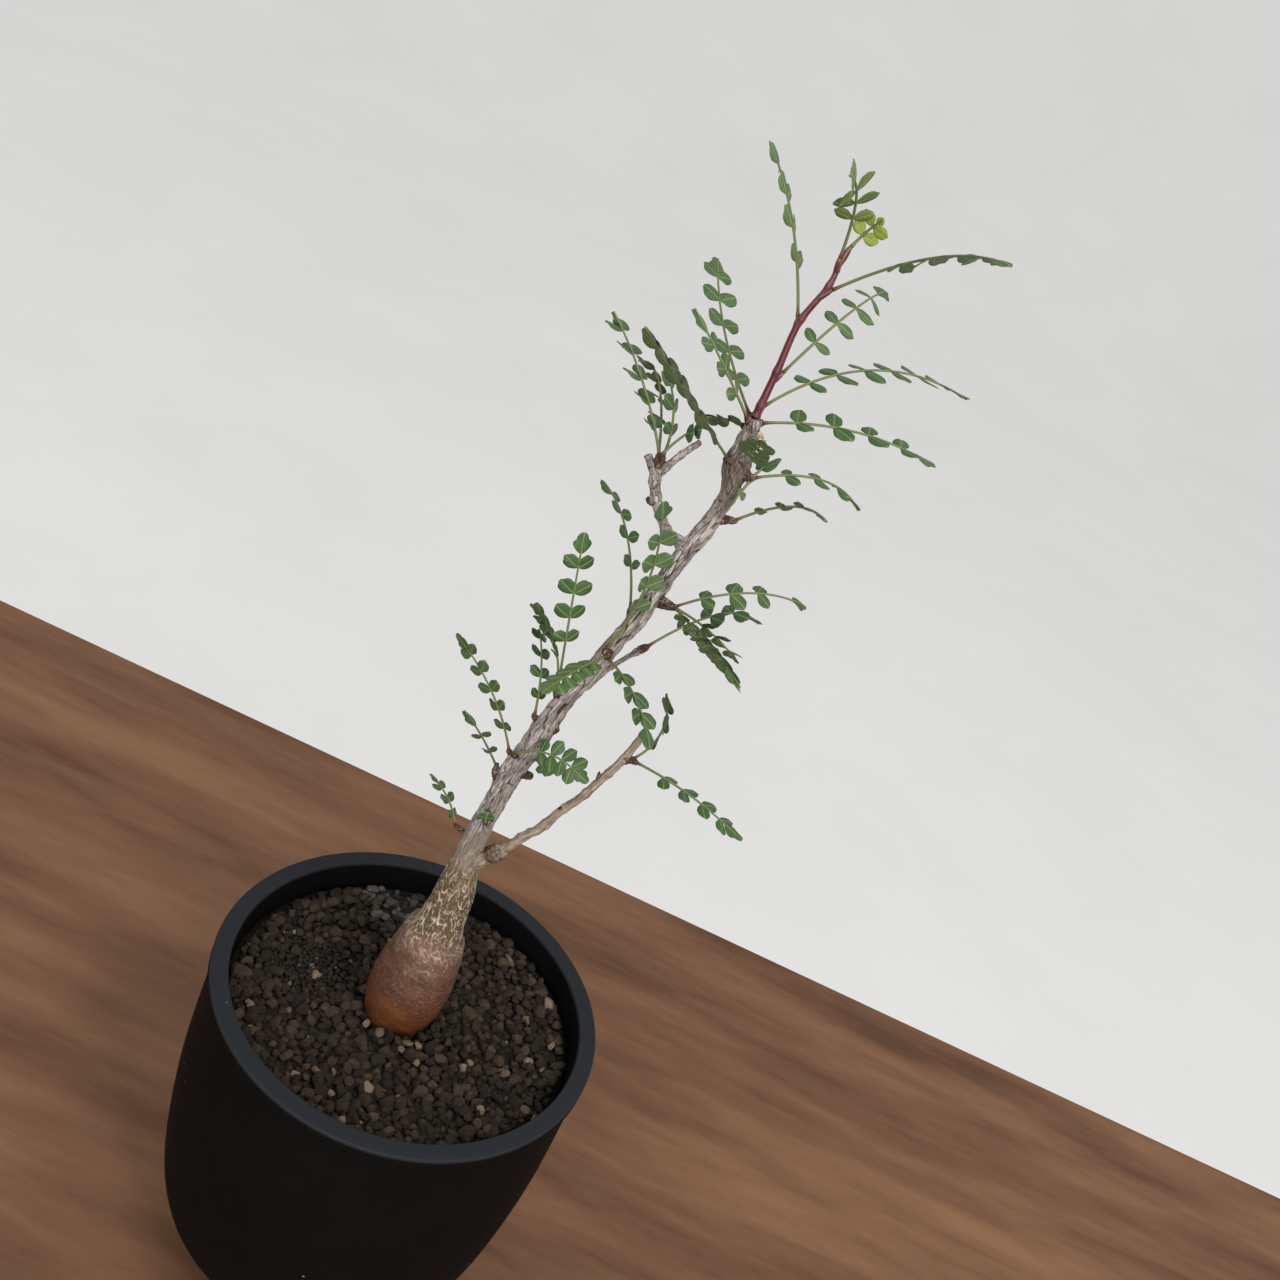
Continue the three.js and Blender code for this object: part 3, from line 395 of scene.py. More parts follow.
# Each layer of grains, coarse to fine: pitch, half size, spread of sizes, level, seed.
GRIT_LAYERS = [(4.2, 2.15, 0.26, 1.2, 11), (3.1, 1.45, 0.24, -0.4, 23), (1.75, 0.86, 0.26, 0.3, 37)]
COARSE, FINE = 0, 2
for layer, (pitch, size, spread, level, seed) in enumerate(GRIT_LAYERS):
    xy, draw = strewn(pitch, 0.34, seed, BED_RADIUS - size)
    from_patch = np.hypot((xy[:, 0] - PATCH_X) / PATCH_LONG, (xy[:, 1] - PATCH_Y) / PATCH_BROAD)
    ragged = from_patch + 0.25 * ripple(xy, 14, 5)
    keep = np.ones(len(xy), bool)
    if layer == COARSE:
        keep = ragged > 0.8
    if layer == FINE:
        keep = (ragged < 1.15) | (draw.uniform(size=len(xy)) < 0.10)
    xy = xy[keep]
    count = len(xy)
    sizes = size * np.exp(draw.normal(0, spread, count)).clip(0.62, 1.45)
    # The finer layers, lying among the coarse grains, take only the darker part of the colour scale: partly
    # the grit's own colours, partly painted shade in the gaps.
    shade = draw.uniform(0.1, 0.79, count) if layer == COARSE else draw.uniform(0, 0.45, count)
    odd = draw.uniform(size=count) < 0.028 + ripple(xy, 60, 3) * 0.02
    shade = np.where(odd, draw.uniform(0.83, 0.93, count), shade)
    if layer == COARSE:
        for group, low, high, reach in ((TAN_STONES, 0.86, 0.94, 2.6), (GREY_STONES, 0.955, 1.0, 6.5)):
            near = np.min(np.hypot(*(xy[:, None] - np.array(group)[None]).transpose(2, 0, 1)), axis=1)
            chosen = (near < reach) & (draw.uniform(size=count) < 0.75)
            shade = np.where(chosen, draw.uniform(low, high, count), shade)
    undulation = 0.7 * ripple(xy, 48, 8) - 0.5
    z = SOIL_LEVEL - 0.9 + level * 0.6 + undulation + draw.uniform(-0.75, 0.75, count)
    if layer == FINE:
        z = np.where(from_patch[keep] < 1.2, z + 0.5, z - 0.3)
    stones, quads = grains(np.column_stack([xy, z]), sizes, seed + 1)
    bed = piece("grit_%d" % (layer + 1), stones, [quads], [grit], [], smooth=False)
    note(bed, "shade", np.repeat(shade, PEBBLE_POINTS))

# Caudex and trunk: one woody stem that stands in the grit. The swollen base has a thin smooth red-brown
# skin, the neck above it a pale net over olive bark, and the trunk grey bark with long fissures.
TRUNK = [(-0.6, 224, 4.1), (0.1, 233, 3.9), (0.9, 244, 4.1), (2.6, 255, 4.2), (5.4, 269, 4.1),
         (7.8, 282, 3.3), (12.6, 299, 3.0), (16.4, 314, 3.0), (19.0, 325, 3.1), (21.0, 337, 2.9),
         (23.4, 350, 2.9), (26.0, 360, 2.9), (27.5, 368, 2.7), (27.5, 375, 2.9), (26.5, 382, 4.1),
         (26.0, 388, 3.4), (25.9, 393, 2.7), (25.3, 397.4, 2.2)]
SKIN_EDGE = 172.5


def limb(stations, rings, sectors):
    """Round bar along a smooth line c(s): p(s, a) = c + r (cos a . side + sin a . back), where back is the
    world's Y made square to the line and side = back x along. Rings lie at even steps of length.
    Returns the centres of the rings, the outward directions, length along, turn round and radius."""
    fine = smooth_line(stations, 60 * len(stations))
    step = np.linalg.norm(np.diff(fine[:, :3], axis=0), axis=1)
    far = np.concatenate([[0], np.cumsum(step)])
    s = np.linspace(0, far[-1], rings)
    line = np.stack([np.interp(s, far, fine[:, k]) for k in range(4)], -1)
    centre, radius = line[:, :3], line[:, 3]
    along = np.gradient(centre, axis=0)
    along /= np.linalg.norm(along, axis=1, keepdims=True)
    back = np.array([0, 1.0, 0]) - along * along[:, 1:2]
    back /= np.linalg.norm(back, axis=1, keepdims=True)
    across = np.cross(back, along)
    a = np.linspace(0, 2 * np.pi, sectors, endpoint=False)
    out = np.cos(a)[None, :, None] * across[:, None] + np.sin(a)[None, :, None] * back[:, None]
    radius = np.repeat(radius[:, None], sectors, 1)
    return centre, out, s[:, None] + 0 * a, a + 0 * s[:, None], radius


def closed_limb(centre, out, radius, offset=0):
    """The points of a limb with one point at each end, and its faces, pointing outwards."""
    rings, sectors = radius.shape
    points = (centre[:, None] + out * radius[..., None]).reshape(-1, 3)
    points = np.vstack([points, centre[0], centre[-1]])
    j = np.arange(sectors)
    k = (j + 1) % sectors
    top = (rings - 1) * sectors
    ends = np.vstack([np.stack([np.full(sectors, rings * sectors), j, k], -1),
                      np.stack([np.full(sectors, rings * sectors + 1), top + k, top + j], -1)])
    return points, band_faces(rings, sectors, True)[:, ::-1] + offset, ends + offset


def cells(turn, length, columns, pitch, seed):
    """A net wrapped round a stem: random centres in a grid of columns round and rows of the given pitch
    along; the answer is how far a place is from the border of its cell (second nearest centre less
    nearest), and a fixed draw for the cell."""
    draw = np.random.default_rng(seed)
    rows = 4096
    jitter = draw.uniform(0.12, 0.88, (rows, columns, 2))
    tone = draw.uniform(0, 1, (rows, columns))
    u = turn / (2 * np.pi) * columns
    v = length / pitch
    iu, iv = np.floor(u).astype(int), np.floor(v).astype(int)
    first = np.full(u.shape, 9.0)
    second = np.full(u.shape, 9.0)
    shade = np.zeros(u.shape)
    for du in (-1, 0, 1):
        for dv in (-1, 0, 1):
            column, row = (iu + du) % columns, (iv + dv) % rows
            far = np.hypot(u - (iu + du + jitter[row, column, 0]), v - (iv + dv + jitter[row, column, 1]))
            nearer = far < first
            second = np.where(nearer, first, np.minimum(second, far))
            shade = np.where(nearer, tone[row, column], shade)
            first = np.where(nearer, far, first)
    return second - first, shade


def ease(value, low, high):
    """0 below low, 1 above high and a smooth turn between."""
    t = np.clip((value - low) / (high - low), 0, 1)
    return t * t * (3 - 2 * t)


def stretched(tree, place, scale):
    """A place with its three axes scaled."""
    return add(tree, "Mapping", Vector=place, Scale=scale).outputs["Vector"]


def bark_finish():
    """Bark by height: red-brown skin, then an olive neck with a pale net, then grey plates between dark
    fissures. The fissures come from the surface itself, the fine streaks from noise drawn along the stem."""
    finish, tree, shader = new_finish("bark", 0.8, 0.3)
    straight = kept(tree, "straight", "Vector")
    crack = kept(tree, "crack")
    zone = kept(tree, "zone")
    long_place = stretched(tree, straight, (1, 1, 0.28))
    flat_place = stretched(tree, straight, (1, 1, 2.4))
    streak = noise(tree, long_place, 1500.0, 5.0, 0.7)
    broad = noise(tree, long_place, 150.0, 4.0, 0.6)
    speckle = noise(tree, flat_place, 700.0, 6.0, 0.75)
    cloud = noise(tree, flat_place, 75.0, 5.0, 0.6)
    skin = blend_by(tree, zone, [(0.0, (0.040, 0.013, 0.006)), (0.04, (0.175, 0.055, 0.013)),
                                 (0.11, (0.150, 0.047, 0.014)), (0.17, (0.100, 0.037, 0.018)),
                                 (0.26, (0.118, 0.050, 0.028)), (0.335, (0.145, 0.072, 0.045))])
    blotch = mixed(tree, 0.65, skin, (0.026, 0.010, 0.006))
    skin = mixed(tree, worked(tree, "MULTIPLY_ADD", cloud, 2.6, -0.85), blotch, skin)
    fleck = worked(tree, "MULTIPLY", worked(tree, "MULTIPLY_ADD", speckle, 4.0, -2.05),
                   blend_by(tree, zone, [(0.06, 0.05), (0.16, 0.55)]))
    skin = mixed(tree, worked(tree, "MAXIMUM", fleck, 0.0), skin, (0.34, 0.235, 0.18))
    ring = noise(tree, stretched(tree, straight, (0.3, 0.3, 5.0)), 150.0, 4.0, 0.65)
    skin = mixed(tree, blend_by(tree, ring, [(0.58, 0), (0.70, 0.4)]), skin, (0.040, 0.018, 0.011))
    olive = blend_by(tree, broad, [(0.3, (0.034, 0.024, 0.010)), (0.55, (0.092, 0.062, 0.028)),
                                   (0.8, (0.155, 0.112, 0.064))])
    net = blend_by(tree, streak, [(0.3, (0.30, 0.225, 0.165)), (0.7, (0.56, 0.465, 0.37))])
    shade = worked(tree, "ADD", worked(tree, "MULTIPLY", streak, 0.75),
                   worked(tree, "MULTIPLY", kept(tree, "plate"), 0.25))
    ridge = blend_by(tree, shade, [(0.25, (0.105, 0.088, 0.077)), (0.5, (0.262, 0.226, 0.204)),
                                   (0.75, (0.52, 0.475, 0.445))])
    collar = blend_by(tree, zone, [(0.945, 0), (0.962, 0.65), (0.976, 0.65), (0.985, 0)])
    ridge = mixed(tree, collar, ridge, (0.075, 0.045, 0.030))
    gap = blend_by(tree, broad, [(0.3, (0.014, 0.009, 0.007)), (0.7, (0.052, 0.037, 0.029))])
    base = mixed(tree, worked(tree, "MULTIPLY", crack, 0.8), skin, net)
    base = mixed(tree, blend_by(tree, zone, [(0.36, 0), (0.40, 1)]), base, mixed(tree, crack, olive, net))
    base = mixed(tree, blend_by(tree, zone, [(0.60, 0), (0.72, 1)]), base, mixed(tree, crack, ridge, gap))
    dull = blend_by(tree, zone, [(0.12, 0.42), (0.3, 0.60), (0.42, 0.85)])
    tree.links.new(dull, shader.inputs["Roughness"])
    height = worked(tree, "ADD", worked(tree, "MULTIPLY", streak, 0.7),
                    worked(tree, "MULTIPLY", speckle, 0.4))
    cover(tree, shader, base, height, 0.55, 0.0004)
    return finish


# Where the colours change: heights, and the share of the colour scale that each one has.
ZONE_HEIGHTS = [129, 136, 150, SKIN_EDGE, 194, 210, 228, 400]
ZONE_SHARES = [0.0, 0.08, 0.2, 0.37, 0.5, 0.62, 0.72, 1.0]
STEM_RINGS, STEM_SECTORS = 660, 144
stem_stations = [(x, 0, z, r) for x, z, r in CAUDEX + TRUNK]
centre, out, length, turn, radius = limb(stem_stations, STEM_RINGS, STEM_SECTORS)
spot = np.stack([radius * np.cos(turn), radius * np.sin(turn), length], -1)
z = (centre[:, None] + out * radius[..., None])[..., 2]
wobble = 2.2 * ripple(spot, 9, 21) + 1.6 * ripple(spot, 26, 22)
zone = np.interp(z + wobble, ZONE_HEIGHTS, ZONE_SHARES)
plate = cells(turn + 0.10 * ripple(spot, 7, 31), length + ripple(spot, 6, 33), 12, 7.5, 41)[1]


def stretched_lines(squeeze, wavelength, seed):
    """Distance from the lines along the stem where a ripple, drawn out along it, crosses zero."""
    return np.abs(ripple(spot * [1, 1, squeeze], wavelength, seed, 16))


grey_share = ease(zone, 0.56, 0.72)
skin_share = 1 - ease(zone, 0.33, 0.39)
neck_share = ease(zone, 0.33, 0.39) * (1 - grey_share)
fissure = np.maximum(1 - ease(stretched_lines(0.14, 2.2, 34), 0.04, 0.27),
                     0.65 * (1 - ease(stretched_lines(0.13, 1.3, 35), 0.03, 0.26)))
net_line = np.maximum(1 - ease(stretched_lines(0.35, 3.2, 36), 0.03, 0.20),
                      0.5 * (1 - ease(stretched_lines(0.4, 1.8, 37), 0.03, 0.22))) * ease(zone, 0.22, 0.35)
crack = fissure * grey_share + net_line * (1 - grey_share) * (0.35 + 0.65 * ease(zone, 0.3, 0.37))
relief = (-0.50 * fissure * grey_share * np.clip(radius / 3.2, 0.6, 1.2)
          + 0.22 * net_line * neck_share + 0.10 * net_line * skin_share
          + 0.7 * skin_share * ease(zone, 0.2, 0.33)
          + 0.12 * ripple(spot, 12, 61) * (0.5 + grey_share) + 0.05 * ripple(spot, 2.2, 62)
          + 0.035 * skin_share * np.sin(length * 2.1 + 2 * ripple(spot, 20, 63))
          + 0.18 * grey_share * ripple(spot * [1, 1, 0.35], 2.6, 64))
stem_points, stem_quads, stem_ends = closed_limb(centre, out, radius + relief)
bark = bark_finish()
stem = piece("caudex_and_trunk", stem_points, [stem_quads, stem_ends], [bark], ["wood"])


def with_ends(values):
    """Values for a limb's ring points, with the mean of the end rings added for its two end points."""
    flat = values.reshape((-1,) + values.shape[2:])
    return np.concatenate([flat, values[:1].mean(1), values[-1:].mean(1)])


for field, values in (("crack", crack), ("zone", zone), ("plate", plate), ("straight", spot * MM)):
    note(stem, field, with_ends(values))

# Branches: cut back in other years. The low one is this wood's smooth tan kind with pale lengthwise lines,
# the others are grey and cracked like the trunk; each grows out of the stem and ends in a cut or a bud.
LOW_BRANCH = [(0.0, 0, 206, 3.4), (5.1, -0.5, 212.4, 3.2), (8.8, -0.95, 216.7, 3.2),
              (10.7, -1.15, 220.2, 1.9), (14.2, -1.5, 227.3, 1.7), (18.8, -2, 234.9, 1.7),
              (22.4, -2.4, 244.7, 1.55), (26.4, -2.8, 252.8, 1.5), (29.8, -3.2, 262.5, 1.45),
              (33.5, -3.6, 273.1, 1.4), (35.6, -3.8, 282.7, 1.3), (36.7, -4, 288.6, 1.2)]
LEFT_BRANCH = [(23.2, 0, 350.5, 2.3), (20.6, 0.2, 352.4, 2.0), (16.7, 0.6, 352.8, 1.8), (12.7, 1, 356.4, 1.6),
               (9.4, 1.4, 360.1, 1.6), (5.8, 1.8, 366.6, 1.8), (5.3, 2, 370.7, 1.7)]
LEFT_STUB = [(5.8, 1.8, 367.3, 1.5), (3.1, 1.6, 370.6, 1.4), (0.8, 1.4, 373.1, 1.2)]
LEFT_ARM = [(5.8, 2, 368.3, 1.5), (9.5, 2.2, 376.2, 1.1), (13.7, 2.4, 383.4, 1.0)]
TWIG = [(12.0, 0, 291.5, 1.6), (13.9, 1.2, 294.2, 1.2), (16.7, 2, 300, 0.95), (20.2, 2.4, 306.1, 0.85),
        (22.6, 2.7, 309.7, 1.0), (24.7, 3, 312.9, 1.3)]
CROWN_STUB = [(25.8, 0, 390, 2.3), (28.0, -1.4, 392.6, 2.2), (29.2, -2.0, 393.8, 1.9)]
LOW_KNOBS = [(12.2, 0.3, 1.9), (16.6, -0.3, 1.0), (26, 0.15, 1.6), (37, 0.35, 1.2), (47.5, 0.2, 1.0),
             (58, 0.25, 1.1), (70, 0.3, 1.2), (78, 0.2, 1.0), (90, 0.35, 1.2)]
LEFT_KNOBS = [(3, 0.25, 1.4), (9, 0.3, 1.1), (14, 0.2, 0.9), (19.5, 0.45, 1.2), (25, 0.3, 1.4)]
ARM_KNOBS = [(4, 0.2, 0.9), (10, 0.25, 0.8)]
TWIG_KNOBS = [(1.5, 0.35, 1.4), (12, 0.2, 0.8), (22, 0.3, 0.9)]
LOW_SEED = 71
BARK_SHIFT = 40


def tan_bark_finish():
    """Young bark: tan, with pale and dark lines along the wood, brown and scaly where the zone says knob."""
    finish, tree, shader = new_finish("young_bark", 0.62, 0.35)
    straight = kept(tree, "straight", "Vector")
    lines = noise(tree, stretched(tree, straight, (1, 1, 0.10)), 1300.0, 4.0, 0.6)
    cloud = noise(tree, straight, 180.0, 4.0, 0.6)
    base = blend_by(tree, lines, [(0.30, (0.150, 0.115, 0.082)), (0.48, (0.310, 0.245, 0.185)),
                                  (0.66, (0.55, 0.47, 0.385))])
    stain = mixed(tree, 0.5, base, (0.085, 0.048, 0.026))
    base = mixed(tree, worked(tree, "MULTIPLY_ADD", cloud, 1.4, -0.45), stain, base)
    rust = blend_by(tree, cloud, [(0.3, (0.060, 0.036, 0.022)), (0.7, (0.20, 0.135, 0.080))])
    base = mixed(tree, kept(tree, "zone"), base, rust)
    base = mixed(tree, worked(tree, "MULTIPLY", kept(tree, "crack"), 0.85), base, (0.022, 0.013, 0.009))
    cover(tree, shader, base, lines, 0.5, 0.0003)
    return finish


def branch_part(stations, rings, sectors, seed, depth, columns, pitch, knobs):
    """One branch as a limb: fissures of the given depth from a net of cells, and knobs, which are
    (length, swelling, width) in millimetres, added as radius swelling . exp(-((s - length) / width)^2)."""
    centre, out, length, turn, radius = limb(stations, rings, sectors)
    spot = np.stack([radius * np.cos(turn), radius * np.sin(turn), length + BARK_SHIFT * seed], -1)
    edge, plate = cells(turn + 0.2 * ripple(spot, 5, seed), length + 0.5 * ripple(spot, 4, seed + 1),
                        columns, pitch, seed)
    crack = 1 - ease(edge, 0.03, 0.26)
    swell = sum(up * np.exp(-((length - at) / wide) ** 2) for at, up, wide in knobs)
    end = np.clip((length[-1, 0] - length) / 0.5, 0, 1)
    full = radius + swell - depth * crack + 0.06 * ripple(spot, 3, seed + 2) * radius
    full = full * (0.62 + 0.38 * np.sqrt(1 - (1 - end) ** 2))
    return centre, out, full, spot, crack, plate


def joined(parts, name, finishes, nodes, fields):
    """Several closed limbs in one mesh; fields are (name, list of values for each part)."""
    points, quads, ends, at = [], [], [], 0
    for centre, out, radius in parts:
        p, q, e = closed_limb(centre, out, radius, at)
        points.append(p)
        quads.append(q)
        ends.append(e)
        at += len(p)
    made = piece(name, np.vstack(points), [np.vstack(quads), np.vstack(ends)], finishes, nodes)
    for field, values in fields:
        note(made, field, np.concatenate([with_ends(v) for v in values]))
    return made


c, o, full, spot, crack, plate = branch_part(LOW_BRANCH, 330, 44, LOW_SEED, 0.10, 7, 6.0, LOW_KNOBS)
# Old scaly bark is left on the first knob, where the branch leaves the stem.
from_stem = spot[..., 2] - BARK_SHIFT * LOW_SEED
knob_zone = ease(from_stem, 8.5, 10.5) * (1 - ease(from_stem + 0.8 * ripple(spot, 4, 3), 14.5, 17.0))
knob_edge = cells(np.arctan2(spot[..., 1], spot[..., 0]) + np.pi, spot[..., 2], 9, 1.7, 72)[0]
knob_line = (1 - ease(knob_edge, 0.05, 0.3)) * knob_zone
joined([(c, o, full - 0.35 * knob_line)], "low_branch", [tan_bark_finish()], ["wood"],
       [("crack", [np.maximum(0.25 * crack, knob_line)]), ("zone", [knob_zone]), ("straight", [spot * MM])])
grey_parts, grey_fields = [], {"crack": [], "zone": [], "plate": [], "straight": []}
for shape in (
        (LEFT_BRANCH, 130, 40, 81, 0.16, 9, 2.6, LEFT_KNOBS),
        (LEFT_STUB, 40, 32, 84, 0.14, 8, 2.0, [(7.6, 0.25, 0.8)]),
        (LEFT_ARM, 70, 28, 87, 0.10, 7, 2.4, ARM_KNOBS),
        (TWIG, 110, 28, 90, 0.08, 7, 2.4, TWIG_KNOBS),
        (CROWN_STUB, 36, 40, 93, 0.18, 9, 1.8, [])):
    c, o, full, spot, crack, plate = branch_part(*shape)
    grey_parts.append((c, o, full))
    grey_fields["crack"].append(0.8 * crack)
    grey_fields["zone"].append(np.full(crack.shape, 0.9))
    grey_fields["plate"].append(plate)
    grey_fields["straight"].append(spot * MM)
joined(grey_parts, "grey_branches", [bark], ["wood"], list(grey_fields.items()))

# This year's shoot: a thin smooth red stem, ribbed and a little swollen where a leaf stands.
# It goes up from the top of the trunk.
SHOOT = [(25.15, 0, 398.3, 1.6), (25.2, 0, 399.8, 1.25), (25.2, 0, 404, 1.15), (25.2, 0, 414, 1.05),
         (25.0, 0, 427.7, 0.95), (28.1, 0, 440.0, 0.85), (28.3, 0, 447.2, 0.75), (28.9, 0, 451.2, 0.6)]


def shoot_finish():
    """Red young rind, brighter in streaks and greener towards the tip."""
    finish, tree, shader = new_finish("shoot_rind", 0.42, 0.5)
    lines = noise(tree, stretched(tree, kept(tree, "straight", "Vector"), (1, 1, 0.12)), 1500.0, 3.0)
    red = blend_by(tree, lines, [(0.3, (0.048, 0.0075, 0.010)), (0.55, (0.108, 0.017, 0.024)),
                                 (0.75, (0.21, 0.052, 0.062))])
    green = blend_by(tree, lines, [(0.3, (0.060, 0.075, 0.020)), (0.7, (0.15, 0.17, 0.055))])
    cover(tree, shader, mixed(tree, kept(tree, "share"), red, green), lines, 0.3, 0.0002)
    return finish


c, o, length, turn, radius = limb(SHOOT, 200, 24)
NODES_AT = [3.4, 14.5, 31.0, 42.5, 50.6]
TIP_GREEN = 0.55
swell = sum(0.24 * np.exp(-((length - at) / 1.3) ** 2) for at in NODES_AT)
rib = 0.04 * np.cos(5 * turn + 0.06 * length)
tip = np.sqrt(np.clip((length[-1, 0] - length) / 0.8, 0, 1))
spot = np.stack([radius * np.cos(turn), radius * np.sin(turn), length], -1)
rind = shoot_finish()
joined([(c, o, (radius + swell + rib) * np.maximum(tip, 0.2))], "red_shoot", [rind], ["shoot"],
       [("straight", [spot * MM]), ("share", [TIP_GREEN * ease(length / length[-1, 0], 0.75, 1.0)])])

